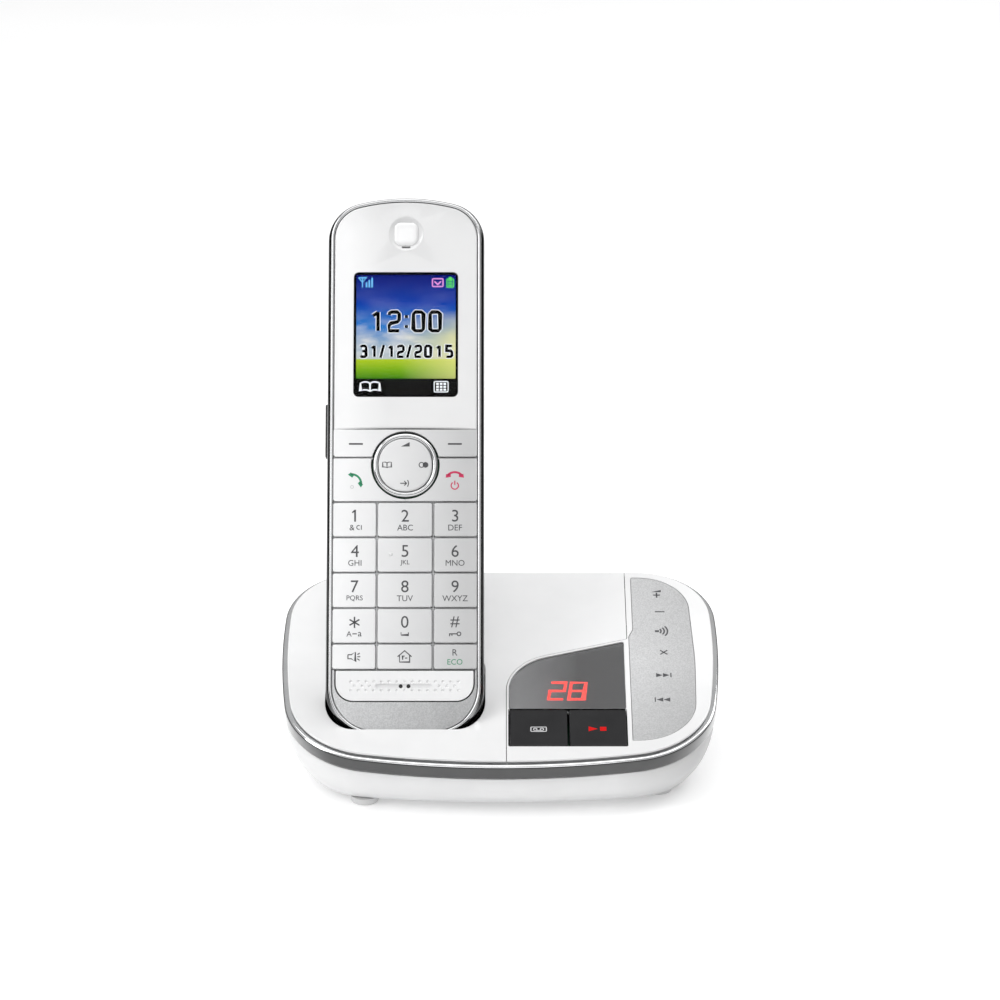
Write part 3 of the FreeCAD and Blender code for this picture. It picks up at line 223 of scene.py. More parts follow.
def shapeWith(piece, tool, operation="DIFFERENCE"):
    cutter = piece.modifiers.new("cutter", "BOOLEAN")
    cutter.object = tool
    cutter.operation = operation
    cutter.solver = "EXACT"
    pickOnly(piece)
    bpy.ops.object.modifier_apply(modifier=cutter.name)
    bpy.data.objects.remove(tool)
    return piece


def cutOut(piece, outline, low, high, over=0):
    return shapeWith(piece, slab("tool", outline, low, high, over=over))


def fuse(piece, outline, low, high):
    return shapeWith(piece, slab("tool", outline, low, high, over=0), "UNION")


def seen(tool, toolPlane, piecePlane):
    # sets a cutter that was drawn on one plane where it is on another
    tool.matrix_world = piecePlane.inverted() @ toolPlane
    bpy.context.view_layer.update()
    return tool


rims = {"angle": radians(40), "near": 0.005}   # what counts as an edge, and as lying on the level


def softenRims(piece, level, width, segments=2):
    pickOnly(piece)
    bpy.ops.object.mode_set(mode="EDIT")
    bpy.ops.mesh.select_mode(type="EDGE")
    bpy.ops.mesh.select_all(action="DESELECT")
    mesh = bmesh.from_edit_mesh(piece.data)
    for edge in mesh.edges:
        flat = all(abs(vertex.co.z - level) < rims["near"] for vertex in edge.verts)
        if flat and edge.is_manifold and edge.calc_face_angle() > rims["angle"]:
            edge.select = True
    bmesh.update_edit_mesh(piece.data)
    bpy.ops.mesh.bevel(offset=width, segments=segments, clamp_overlap=True)
    bpy.ops.mesh.select_mode(type="VERT")
    bpy.ops.object.mode_set(mode="OBJECT")


def paint(piece, finish):
    piece.data.materials.clear()
    piece.data.materials.append(finishes[finish])
    return piece


def splitWide(piece):
    # faces with many sides become triangles
    pickOnly(piece)
    bpy.ops.object.mode_set(mode="EDIT")
    bpy.ops.mesh.select_mode(type="FACE")
    bpy.ops.mesh.select_all(action="DESELECT")
    bpy.ops.mesh.select_face_by_sides(number=4, type="GREATER")
    bpy.ops.mesh.quads_convert_to_tris(ngon_method="BEAUTY")
    bpy.ops.mesh.select_mode(type="VERT")
    bpy.ops.object.mode_set(mode="OBJECT")


def settle(piece, plane, body, stands=(), smooth=35):
    splitWide(piece)
    piece.data.transform(plane)
    bpy.ops.object.shade_smooth_by_angle(angle=radians(smooth))
    # broad faces stay flat beside their round edges
    even = piece.modifiers.new("even", "WEIGHTED_NORMAL")
    even.keep_sharp = True
    bpy.ops.object.modifier_apply(modifier=even.name)
    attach(piece, body)
    if stands:
        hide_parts(*stands)
    return piece


# printing on the surfaces

printDepth = 0.03               # above and below the surface it is printed on


def lettering(text, x, y, height, finish, level):
    # text of a given height, its middle at x, y
    bpy.ops.object.select_all(action="DESELECT")
    bpy.ops.object.text_add()
    piece = bpy.context.object
    piece.data.body = text
    piece.data.size = 1
    piece.data.resolution_u = 4
    piece.data.extrude = 0.5
    bpy.ops.object.convert(target="MESH")
    piece = bpy.context.object
    bpy.ops.object.mode_set(mode="EDIT")
    bpy.ops.mesh.select_all(action="SELECT")
    bpy.ops.mesh.remove_doubles(threshold=0.0001)
    faceOutwards(piece)
    spots = [vertex.co for vertex in piece.data.vertices]
    low, high = [[pick(spot[axis] for spot in spots) for axis in range(2)] for pick in (min, max)]
    size = height / (high[1] - low[1])
    piece.data.transform(Matrix.Translation((x, y, level))
                         @ Matrix.Diagonal((size, size, printDepth * 2, 1))
                         @ Matrix.Translation((-(low[0] + high[0]) / 2, -(low[1] + high[1]) / 2, 0)))
    return paint(piece, finish)


def patch(outline, finish, level):
    return paint(slab("patch", outline, level - printDepth, level + printDepth, over=0), finish)


def stroke(points, width, finish, level):
    # an open line of even width
    left, right = [], []
    for index, (x, y) in enumerate(points):
        xBefore, yBefore = points[max(index - 1, 0)]
        xAfter, yAfter = points[min(index + 1, len(points) - 1)]
        ahead = Vector((xAfter - xBefore, yAfter - yBefore)).normalized()
        if 0 < index < len(points) - 1:
            turn = Vector((xAfter - x, yAfter - y)).normalized()
            stretch = width / 2 / max(0.4, ahead.dot(turn))
        else:
            stretch = width / 2
        left.append((x - ahead.y * stretch, y + ahead.x * stretch))
        right.append((x + ahead.y * stretch, y - ahead.x * stretch))
    return patch(right + left[::-1], finish, level)


def ringStroke(outline, width, finish, level):
    half = width / 2
    profile = [(half, level - printDepth), (half, level + printDepth),
               (-half, level + printDepth), (-half, level - printDepth)]
    return paint(hoop("line", outline, profile), finish)


print("tools ready")


# finishes

def newFinish(name):
    material = bpy.data.materials.new(name)
    material.use_nodes = True
    return material, material.node_tree, material.node_tree.nodes["Principled BSDF"]


def dial(shader, settings):
    for name, amount in settings.items():
        shader.inputs[name].default_value = amount


def placesOn(tree, source="Object"):
    return tree.nodes.new("ShaderNodeTexCoord").outputs[source]


def axesOf(tree, source="Object"):
    parts = tree.nodes.new("ShaderNodeSeparateXYZ")
    tree.links.new(placesOn(tree, source), parts.inputs["Vector"])
    return parts.outputs


def noiseAt(tree, scale, detail=2.0, source="Object", stretch=None):
    places = placesOn(tree, source)
    noise = tree.nodes.new("ShaderNodeTexNoise")
    dial(noise, {"Scale": scale, "Detail": detail})
    if stretch:
        mapping = tree.nodes.new("ShaderNodeMapping")
        mapping.inputs["Scale"].default_value = stretch
        tree.links.new(places, mapping.inputs["Vector"])
        places = mapping.outputs["Vector"]
    tree.links.new(places, noise.inputs["Vector"])
    return noise.outputs["Fac"]


def spread(tree, output, low, high, tight=(0.3, 0.7)):
    between = tree.nodes.new("ShaderNodeMapRange")
    dial(between, {"From Min": tight[0], "From Max": tight[1], "To Min": low, "To Max": high})
    tree.links.new(output, between.inputs["Value"])
    return between.outputs["Result"]


def rampOf(tree, output, stops):
    ramp = tree.nodes.new("ShaderNodeValToRGB")
    elements = ramp.color_ramp.elements
    while len(elements) < len(stops):
        elements.new(0.5)
    for element, (position, colour) in zip(elements, stops):
        element.position = position
        element.color = (*colour, 1)
    tree.links.new(output, ramp.inputs["Fac"])
    return ramp.outputs["Color"]


def layered(tree, factor, under, over, kind="MIX"):
    # one colour over another, as far as the factor says
    blend = tree.nodes.new("ShaderNodeMix")
    blend.data_type = "RGBA"
    blend.blend_type = kind
    blend.inputs[7].default_value = (*over, 1)
    tree.links.new(factor, blend.inputs["Factor"])
    tree.links.new(under, blend.inputs[6])
    return blend.outputs[2]


def product(tree, one, other):
    times = tree.nodes.new("ShaderNodeMath")
    times.operation = "MULTIPLY"
    tree.links.new(one, times.inputs[0])
    tree.links.new(other, times.inputs[1])
    return times.outputs["Value"]


reliefDepth = 0.0002


def surfaceFinish(name, tints, rough, mottle=90, grain=2600, bump=0.04, metallic=0.0, coat=0.0,
                  specular=0.5, flakes=0, fades=()):
    # two close tints, a roughness that wanders a little, a fine moulded grain, and painted shade that
    # deepens the tint along an axis
    material, tree, shader = newFinish(name)
    if flakes:
        cells = tree.nodes.new("ShaderNodeTexVoronoi")
        cells.inputs["Scale"].default_value = flakes
        tree.links.new(placesOn(tree), cells.inputs["Vector"])
        tintSource = cells.outputs["Color"]
    else:
        tintSource = noiseAt(tree, mottle, 3)
    colour = rampOf(tree, tintSource, [(0.3, tints[0]), (0.7, tints[1])])
    # painted shade: the tint is darkened along an axis, where light is taken to fall off
    for axis, start, end, deep in fades:          # the tint deepens along an axis, from start to end
        along = spread(tree, axesOf(tree)[axis], 0, 1, (start, end))
        colour = layered(tree, along, colour, (deep, deep, deep), "MULTIPLY")
    tree.links.new(colour, shader.inputs["Base Color"])
    tree.links.new(spread(tree, noiseAt(tree, mottle * 4, 4), *rough), shader.inputs["Roughness"])
    relief = tree.nodes.new("ShaderNodeBump")
    dial(relief, {"Strength": bump, "Distance": reliefDepth})
    tree.links.new(noiseAt(tree, grain, 3), relief.inputs["Height"])
    tree.links.new(relief.outputs["Normal"], shader.inputs["Normal"])
    dial(shader, {"Metallic": metallic, "Coat Weight": coat, "Coat Roughness": 0.04,
                  "Specular IOR Level": specular})
    return material


def clearFinish(name, tint, rough, ior=1.45, coat=0.0):
    material, tree, shader = newFinish(name)
    smear = noiseAt(tree, 300, 4)
    tree.links.new(spread(tree, smear, *rough), shader.inputs["Roughness"])
    colour = rampOf(tree, smear, [(0.2, tint), (0.8, [part * 0.97 for part in tint])])
    tree.links.new(colour, shader.inputs["Base Color"])
    dial(shader, {"Transmission Weight": 1.0, "IOR": ior, "Coat Weight": coat, "Coat IOR": 1.7,
                  "Coat Roughness": 0.03})
    return material


def glowFinish(name, colour, strength):
    # a lit segment: its light dips a little from spot to spot
    material, tree, shader = newFinish(name)
    dim = [part * 0.85 for part in colour]
    lit = rampOf(tree, noiseAt(tree, 1500), [(0.35, dim), (0.65, colour)])
    tree.links.new(lit, shader.inputs["Emission Color"])
    dial(shader, {"Emission Strength": strength, "Base Color": (*[part * 0.3 for part in colour], 1),
                  "Roughness": 0.4, "Specular IOR Level": 0.0})
    return material


sky = {                         # the picture on the display, by height: grass, haze, cloud, deep sky
    "scene": [(0.0, (0.05, 0.24, 0.005)), (0.08, (0.20, 0.46, 0.005)), (0.185, (0.48, 0.66, 0.02)),
              (0.192, (0.60, 0.66, 0.66)), (0.34, (0.33, 0.47, 0.64)), (0.50, (0.03, 0.22, 0.66)),
              (0.72, (0.001, 0.05, 0.45)), (1.0, (0.0003, 0.003, 0.19))],
    "clouds": [(0.20, 0), (0.26, 1), (0.42, 0.8), (0.60, 0.1), (0.95, 0)],
    "sun": [(0.0, 0.8), (0.40, 1), (0.66, 0)],
    "cloud": (0.86, 0.86, 0.84), "warm": (0.98, 0.93, 0.34),
}


def skyFinish(name):
    material, tree, shader = newFinish(name)
    across = axesOf(tree, "UV")
    strengths = [rampOf(tree, across["Y"], [(height, (share,) * 3) for height, share in sky[part]])
                 for part in ("clouds", "sun")]
    puffs = spread(tree, noiseAt(tree, 3.0, 6, "UV", (1.0, 2.6, 1.0)), 0, 1, (0.42, 0.66))
    fromRight = spread(tree, across["X"], 0, 0.85, (0.45, 1.1))
    colour = rampOf(tree, across["Y"], sky["scene"])
    colour = layered(tree, product(tree, puffs, strengths[0]), colour, sky["cloud"])
    colour = layered(tree, product(tree, fromRight, strengths[1]), colour, sky["warm"])
    tree.links.new(colour, shader.inputs["Emission Color"])
    dial(shader, {"Emission Strength": 0.9, "Base Color": (0.002, 0.002, 0.002, 1), "Roughness": 0.5,
                  "Specular IOR Level": 0.0})
    return material


surfaces = {                    # two tints, roughness from and to, and whatever else sets it apart
    # painted shade: the white gloss darkens towards the front
    "white_gloss": (((0.86, 0.862, 0.864), (0.89, 0.891, 0.892)), (0.10, 0.18),
                    {"bump": 0.015, "coat": 0.6, "fades": [("Y", -0.012, -0.046, 0.86)]}),
    # painted shade: the handset's face darkens from its left edge rightwards
    "faceWhite": (((0.84, 0.842, 0.845), (0.87, 0.872, 0.873)), (0.10, 0.18),
                  {"bump": 0.015, "coat": 0.6, "fades": [("X", -0.046, -0.034, 0.85)]}),
    "white_satin": (((0.84, 0.842, 0.845), (0.87, 0.872, 0.873)), (0.30, 0.42), {"bump": 0.05}),
    # painted shade: the lower case darkens towards its right side
    "caseWhite": (((0.78, 0.782, 0.785), (0.82, 0.822, 0.823)), (0.30, 0.42),
                  {"bump": 0.05, "fades": [("X", 0.034, 0.066, 0.55)]}),
    # painted reflection: the frame's two outer flanks are darkened where they would reflect the dark
    # room
    "frameChrome": (((0.48, 0.485, 0.49), (0.56, 0.565, 0.57)), (0.06, 0.14),
                    {"metallic": 1.0, "bump": 0.01,
                     "fades": [("X", -0.0475, -0.0512, 0.15), ("X", -0.0097, -0.0060, 0.15)]}),
    "chrome": (((0.58, 0.585, 0.59), (0.66, 0.665, 0.67)), (0.06, 0.14),
               {"metallic": 1.0, "bump": 0.01}),
    # painted reflection: this chrome darkens towards the front, where the band would reflect the dark
    # room
    "chromePaintedDark": (((0.56, 0.565, 0.57), (0.64, 0.645, 0.65)), (0.10, 0.18),
                   {"metallic": 1.0, "bump": 0.01, "coat": 0.7,
                    "fades": [("Y", -0.020, -0.050, 0.11)]}),
    # painted shade: the panel darkens towards its right edge and towards the front
    "panelSilver": (((0.55, 0.553, 0.557), (0.66, 0.663, 0.667)), (0.34, 0.46),
                    {"metallic": 0.35, "flakes": 3600, "bump": 0.06,
                     "fades": [("X", 0.040, 0.062, 0.80), ("Y", -0.012, -0.046, 0.76)]}),
    # painted shade: the silver darkens from left to right
    "silver": (((0.54, 0.545, 0.55), (0.66, 0.665, 0.67)), (0.30, 0.44),
               {"metallic": 0.35, "flakes": 3600, "bump": 0.06,
                "fades": [("X", -0.046, -0.014, 0.72)]}),
    # painted shade: the keys darken from left to right, as if lit from the left
    "key_plastic": (((0.86, 0.865, 0.87), (0.90, 0.902, 0.905)), (0.28, 0.38),
                    {"bump": 0.03, "coat": 0.25, "fades": [("X", -0.048, -0.010, 0.60)]}),
    "web_grey": (((0.72, 0.725, 0.73), (0.80, 0.805, 0.81)), (0.38, 0.5), {}),
    "black_gloss": (((0.006, 0.006, 0.007), (0.012, 0.012, 0.013)), (0.07, 0.13),
                    {"bump": 0.01, "specular": 0.35}),
    "black_satin": (((0.012, 0.012, 0.012), (0.022, 0.022, 0.023)), (0.4, 0.55), {}),
    # painted shade: the lens print darkens towards the right
    "lensPrint": (((0.58, 0.58, 0.583), (0.62, 0.62, 0.623)), (0.4, 0.5),
                  {"specular": 0.1, "fades": [("X", 0.005, 0.024, 0.18)]}),
    "display": (((0.05, 0.05, 0.055), (0.08, 0.08, 0.09)), (0.3, 0.4), {}),
    "led": (((0.010, 0.010, 0.010), (0.016, 0.015, 0.015)), (0.5, 0.65), {}),
    "back_shell": (((0.70, 0.705, 0.71), (0.76, 0.762, 0.765)), (0.34, 0.46),
                   {"grain": 2000, "bump": 0.12}),
    "rubber_grey": (((0.70, 0.70, 0.70), (0.78, 0.78, 0.78)), (0.6, 0.75), {"bump": 0.1}),
    "rubber_black": (((0.02, 0.02, 0.02), (0.035, 0.035, 0.035)), (0.55, 0.7), {}),
    "circuit": (((0.01, 0.10, 0.04), (0.02, 0.17, 0.07)), (0.3, 0.45), {"mottle": 400}),
    "speaker": (((0.03, 0.03, 0.03), (0.06, 0.06, 0.06)), (0.5, 0.65), {"mottle": 300}),
    "contact": (((0.72, 0.56, 0.28), (0.82, 0.66, 0.36)), (0.18, 0.3), {"metallic": 1.0}),
    "steel": (((0.45, 0.45, 0.46), (0.58, 0.58, 0.59)), (0.22, 0.36), {"metallic": 1.0}),
    "cell_jacket": (((0.03, 0.20, 0.09), (0.05, 0.28, 0.13)), (0.25, 0.35), {}),
    "legend": (((0.055, 0.055, 0.06), (0.085, 0.085, 0.09)), (0.45, 0.6), {}),
    "legendPale": (((0.55, 0.55, 0.56), (0.65, 0.65, 0.66)), (0.4, 0.5), {}),
    "printGreen": (((0.02, 0.24, 0.11), (0.04, 0.30, 0.15)), (0.4, 0.5), {}),
    "printRed": (((0.50, 0.02, 0.08), (0.60, 0.03, 0.11)), (0.4, 0.5), {}),
    "screenBlack": (((0.001, 0.001, 0.001), (0.002, 0.002, 0.002)), (0.3, 0.4), {"specular": 0.0}),
}
glows = {                       # colour and strength
    "ledRed": ((1.0, 0.045, 0.03), 2.2),
    "keyRed": ((0.8, 0.02, 0.02), 0.6),
    "screenWhite": ((0.92, 0.95, 0.98), 0.9),
    "screenBlue": ((0.15, 0.50, 0.85), 0.9),
    "screenPink": ((0.75, 0.30, 0.70), 0.9),
    "screenGreen": ((0.10, 0.75, 0.12), 0.9),
}
finishes = {name: surfaceFinish(name, tints, rough, **more)
            for name, (tints, rough, more) in surfaces.items()}
for name, (colour, strength) in glows.items():
    finishes[name] = glowFinish(name, colour, strength)
finishes["smoked_lens"] = clearFinish("smoked_lens", (0.72, 0.72, 0.73), (0.02, 0.06), coat=0.6)
finishes["clear_window"] = clearFinish("clear_window", (0.97, 0.975, 0.98), (0.01, 0.04), ior=1.12)
finishes["picture"] = skyFinish("picture")
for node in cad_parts.values():          # the CAD nodes' materials are named for their slots
    for holder in node.material_slots:
        holder.material = finishes[holder.material.name.split(".")[0]]
print("finishes ready")


# base: outlines

deck = {
    "halfWidth": 65.0, "depth": 89.2, "widest": 55.0,
    "frontCorner": 27.0, "backCorner": 22.0, "sideBow": 230.0, "frontBow": 246.0,
    "wall": 2.2,                # cover plates
    "rim": 0.65,                # their visible edge
    "rimRound": 0.45,
    "seamLeft": 1.7, "seamRight": 38.7, "seamGap": 0.2,
}
lens = {
    "left": 2.6, "right": 37.7, "low": 23.7, "high": 55.1,
    "fall": 17.3,               # the upper edge falls to the left
    "corner": 16.2, "border": 1.0, "bottom": -1.3, "top": -0.1,
    "gap": 0.12, "seat": -1.5, "hole": -1.0,
    "digits": -1.36, "printTop": -1.38, "printBottom": -1.48, "printInset": 0.15,
}
deckKey = {
    "low": 6.7, "high": 23.2, "split": 20.3, "gap": 0.5, "thick": 3.0, "round": 0.45, "corner": 0.5,
    "beside": 0.25, "below": 0.22, "above": 0.45,   # clear of the bezel
}


def rimOutline(halfWidth, depth, widest, frontCorner, backCorner, out=0):
    # bowed front and sides, straight back, four round corners
    side, front = deck["sideBow"], deck["frontBow"]
    sideCentre = Vector((halfWidth - side, widest))
    frontCentre = Vector((0, front))
    line = frontCentre - sideCentre
    near, far = side - frontCorner, front - frontCorner
    along = (near ** 2 - far ** 2 + line.length_squared) / (2 * line.length)
    across = sqrt(near ** 2 - along ** 2)
    unit = line.normalized()
    frontPin = sideCentre + unit * along + Vector((unit.y, -unit.x)) * across
    backHeight = depth - backCorner
    backAcross = sqrt((side - backCorner) ** 2 - (backHeight - widest) ** 2)
    backPin = Vector((sideCentre.x + backAcross, backHeight))
    frontTurn = bearing(frontCentre, frontPin)
    sideTurn = bearing(sideCentre, frontPin)
    backTurn = bearing(sideCentre, backPin)
    right = arcAround(frontCentre, front + out, -90, frontTurn, 12)
    right += arcAround(frontPin, frontCorner + out, frontTurn, sideTurn, 16)[1:]
    right += arcAround(sideCentre, side + out, sideTurn, backTurn, 12)[1:]
    right += arcAround(backPin, backCorner + out, backTurn, 90, 16)[1:]
    backEdge = [(right[-1][0] * (1 - step / 4), depth + out) for step in range(1, 8)]
    return right + backEdge + [(-x, y) for x, y in right[:0:-1]]


def deckOutline(out=0):
    return rimOutline(deck["halfWidth"], deck["depth"], deck["widest"], deck["frontCorner"],
                      deck["backCorner"], out)


lensSlope = tan(radians(lens["fall"]))


def lensOutline(out=0):
    left, right, low = lens["left"] - out, lens["right"] + out, lens["low"] - out
    high = lens["high"] + out / cos(radians(lens["fall"])) + lensSlope * out
    small = max(0.15, 0.5 + out)
    corners = [(left, low, small), (right, low, small), (right, high, small),
               (left, high - lensSlope * (right - left), lens["corner"] + out)]
    return roundOutline(corners, turn=6)


def seamCorners(gap):
    left, right = deck["seamLeft"] + gap, deck["seamRight"] + gap
    above = (lens["border"] - gap) / cos(radians(lens["fall"]))
    low = lens["high"] - lensSlope * (lens["right"] - left) + above
    high = low + lensSlope * (right - left)
    return [(left, low, lens["corner"] + lens["border"] - gap), (right, high, lens["border"])]


def besideSeam(gap, toRight):
    # everything to one side of the seam
    reach = 200
    low, high = seamCorners(gap)
    if toRight:
        return roundOutline([(reach, -reach, 0), (reach, reach, 0), (high[0], reach, 0), high, low,
                             (low[0], -reach, 0)], turn=6)
    return roundOutline([(-reach, -reach, 0), (low[0], -reach, 0), low, high, (high[0], reach, 0),
                         (-reach, reach, 0)], turn=6)


def deckPlate(name):
    wall, rim, soft = deck["wall"], deck["rim"], deck["rimRound"]
    profile = [(-0.8, -wall), (-0.8, -rim), (-0.15, -rim), (0, -rim + 0.15)]
    profile += [(-soft * (1 - cos(turn)), -soft * (1 - sin(turn)))
                for turn in [radians(22.5 * step) for step in range(5)]]
    return loftProfile(name, deckOutline(), profile)


cradle = {                      # the well round the handset's foot
    "half": 23.75, "thick": 25.0, "frontRound": 8.5, "backRound": 6.0,
    "gap": 0.35, "wall": 1.4, "high": 34.0, "below": -2.3,
}


def cradleOutline(out=0):
    # across, and from the handset's face to its back
    half, thick = cradle["half"], cradle["thick"]
    frontRound, backRound = cradle["frontRound"], cradle["backRound"]
    outline = roundOutline([(-half, 0, frontRound), (half, 0, frontRound), (half, thick, backRound),
                            (-half, thick, backRound)])
    return grow(outline, out) if out else outline


# base: covers

topCover = paint(deckPlate("topCover"), "white_gloss")
cutOut(topCover, besideSeam(0, True), -10, 10)
well = slab("tool", cradleOutline(cradle["gap"]), 0.0, 80, over=0)
shapeWith(topCover, seen(well, wellPlane, deckPlane))
softenRims(topCover, 0, 0.35, 3)
settle(topCover, deckPlane, "base", ["base_top_cover"])

controlBezel = paint(deckPlate("controlBezel"), "white_gloss")
cutOut(controlBezel, besideSeam(deck["seamGap"], False), -10, 10)
cutOut(controlBezel, lensOutline(lens["gap"]), lens["seat"], 2)
cutOut(controlBezel, lensOutline(-lens["border"]), -5, lens["hole"])
keyHole = boxOutline(lens["left"] - deckKey["beside"], lens["right"] + deckKey["beside"],
                     deckKey["low"] - deckKey["below"], deckKey["high"] + deckKey["above"], 0.6)
cutOut(controlBezel, keyHole, -5, 2.5)

controlPanel = {
    "left": 39.4, "low": 9.2, "right": 59.3, "taper": 1.0, "middle": 46.0, "high": 86.4,
    "jog": 1.3, "jogLow": 57.5, "jogHigh": 61.0, "thick": 1.2, "gap": 0.12,
}


def panelOutline(out=0):
    left, low, high = controlPanel["left"], controlPanel["low"], controlPanel["high"]
    right = controlPanel["right"] - controlPanel["taper"]
    upperLeft = left + controlPanel["jog"]
    corners = [(left, low, 0.25), (right, low, 17.6),
               (controlPanel["right"], controlPanel["middle"], 160.0), (right - 0.6, high, 15.6),
               (upperLeft, high, 0.5), (upperLeft, controlPanel["jogHigh"], 1.0),
               (left, controlPanel["jogLow"], 1.0)]
    outline = roundOutline(corners, turn=6)
    return grow(outline, out) if out else outline


cutOut(controlBezel, panelOutline(controlPanel["gap"]), -controlPanel["thick"] - 0.05, 2)
softenRims(controlBezel, 0, 0.2, 3)
settle(controlBezel, deckPlane, "base", ["control_bezel"])
print("covers done")


# base: band, lower case, feet and well

band = {
    "out": 1.78, "in": -0.6, "top": -1.15, "bottom": -6.2, "round": 1.1,
    # faces that look up more than this take the bright chrome: a painted highlight
    "paintedHighlight": 0.6,            # the faces that look up more than this
}


def bandProfile():
    out, low, high, soft = band["out"], band["bottom"], band["top"], band["round"]
    lower = [(out - soft * (1 - cos(turn)), low + soft * (1 - sin(turn)))
             for turn in [radians(90 - 18 * step) for step in range(6)]]
    upper = [(out - soft * (1 - cos(turn)), high - soft * (1 - sin(turn)))
             for turn in [radians(18 * step) for step in range(6)]]
    return [(band["in"], low)] + lower + [(out, (low + high) / 2)] + upper + [(band["in"], high)]


trimBand = paint(hoop("trimBand", deckOutline(), bandProfile()), "chromePaintedDark")
# painted highlight: faces that look up take the bright chrome, the rest keep the chrome painted dark
# towards the front
trimBand.data.materials.append(finishes["chrome"])
for face in trimBand.data.polygons:
    if face.normal.z > band["paintedHighlight"]:
        face.material_index = 1
settle(trimBand, deckPlane, "base", ["base_trim_band"], smooth=45)

case = {
    "inset": 7.2,               # underside, in from the deck's outline
    "lap": 1.2, "bulge": 2.0, "seat": -6.3, "wall": 1.8, "floor": 2.2, "bottom": 2.0, "edge": 1.0,
}


def caseLoop(share, shrink, rise=0.0):
    # one plan of the case's side: share 1 lies under the band, 0 on the underside
    inset = case["inset"] * (1 - share)
    tilt = radians(place["slope"])
    depth = deck["depth"] * share + (deck["depth"] * cos(tilt) - case["inset"] * 2) * (1 - share)
    widest = deck["widest"] * share + (deck["widest"] * cos(tilt) - case["inset"]) * (1 - share)
    out = case["lap"] * share + case["bulge"] * 4 * share * (1 - share) - shrink
    outline = rimOutline(deck["halfWidth"] - inset, depth, widest, deck["frontCorner"] - inset,
                         deck["backCorner"] - inset, out)
    y = -case["seat"] * sin(tilt) * share + case["inset"] * (1 - share)
    z = (place["deckHeight"] + case["seat"] * cos(tilt)) * share
    z += (case["bottom"] + rise) * (1 - share)
    turn = tilt * share
    return [(across, y + along * cos(turn), z + along * sin(turn)) for across, along in outline]


shares = [0.04, 0.12, 0.22, 0.34, 0.46, 0.58, 0.70, 0.82, 0.92, 1.0]
underEdge = [(0, case["edge"]), (0.003, case["edge"] * 0.45), (0.014, case["edge"] * 0.12)]
loops = [caseLoop(share, shrink) for share, shrink in underEdge]
loops += [caseLoop(share, 0) for share in shares]
loops += [caseLoop(share, case["wall"], case["floor"]) for share in reversed(shares)]
loops += [caseLoop(0, case["wall"] + 0.6, case["floor"])]
lowerCase = paint(loft("lowerCase", loops), "caseWhite")
sockets = {                     # the line's and the power's: middle, width
    "spots": ((33.0, 13.0), (16.0, 9.4)), "low": 4.2, "high": 16.0, "gap": 0.1,
    "outside": -108.0, "end": -62.0,
}
for across, width in sockets["spots"]:
    half = width / 2 + sockets["gap"]
    notch = slab("tool", boxOutline(across - half, across + half, sockets["low"],
                                    sockets["high"] + sockets["gap"]),
                 sockets["outside"], sockets["end"], over=0)
    shapeWith(lowerCase, seen(notch, backPlane, tablePlane))
ringer = {"across": 27.0, "low": 34.0, "high": 52.0, "pitch": 5.0, "half": 1.0, "end": 0.98}
for slot in range(-2, 3):
    middle = ringer["across"] + ringer["pitch"] * slot
    cutOut(lowerCase, boxOutline(middle - ringer["half"], middle + ringer["half"], ringer["low"],
                                 ringer["high"], ringer["end"], 22.5), -1, 6)
caseScrews = {
    "spots": ((-44.0, 67.0), (-6.0, 76.0), (51.0, 23.0), (51.0, 62.0)), "radius": 2.9, "deep": 4.15,
}
for x, y in caseScrews["spots"]:
    cutOut(lowerCase, discOutline(x, y, caseScrews["radius"], 32), -1, caseScrews["deep"])
settle(lowerCase, tablePlane, "base", ["base_lower_case"], smooth=40)

pads = {
    "spots": ((-40.6, 13.2), (47.5, 20.7), (-43.0, 70.0), (43.0, 70.0)), "radius": 4.2,
    "profile": [(-1.2, 0.12), (-0.8, 0), (-0.45, 0), (-0.15, 0.12), (0, 0.45), (0, 2.0)],
}
feet = [loftProfile("foot", discOutline(x, y, pads["radius"], 40), pads["profile"])
        for x, y in pads["spots"]]
baseFeet = paint(join("baseFeet", feet), "rubber_grey")
settle(baseFeet, tablePlane, "base", ["base_feet"])

outside = cradle["gap"] + cradle["wall"]
outer, inner = cradleOutline(outside), cradleOutline(cradle["gap"])
cup = [[(x, y, level) for x, y in outline] for outline, level in
       ((outer, -outside), (outer, cradle["high"]), (inner, cradle["high"]), (inner, -cradle["gap"]))]
cradleLiner = paint(loft("cradleLiner", cup), "black_satin")
above = slab("tool", boxOutline(-200, 200, -200, 200), cradle["below"], 90, over=0)
shapeWith(cradleLiner, seen(above, deckPlane, wellPlane))
settle(cradleLiner, wellPlane, "base", ["cradle_liner"])
print("band, case, feet and well done")


# base: display, keys and control panel

displayWindow = slab("displayWindow", lensOutline(), lens["bottom"], lens["top"], over=0.3, under=0.1)
settle(paint(displayWindow, "smoked_lens"), deckPlane, "base", ["display_window"])

digits = {
    "left": 14.5, "low": 28.9, "width": 4.4, "height": 7.7, "pitch": 6.1, "line": 1.0, "slant": 0.12,
}


def digitStroke(left, places):
    spots = []
    for x, y in places:
        high = y * digits["height"]
        spots.append((left + x * digits["width"] + high * digits["slant"], digits["low"] + high))
    return stroke(spots, digits["line"], "ledRed", lens["digits"])


first, second = digits["left"], digits["left"] + digits["pitch"]
segments = [digitStroke(first, [(0, 1), (1, 1), (1, 0.5), (0, 0.5), (0, 0), (1, 0)]),
            digitStroke(second, [(0.06, 0.5), (0, 0.5), (0, 1), (1, 1), (1, 0), (0, 0), (0, 0.5)]),
            digitStroke(second, [(0.0, 0.5), (1.0, 0.5)])]
settle(join("ledDigits", segments), deckPlane, "base")
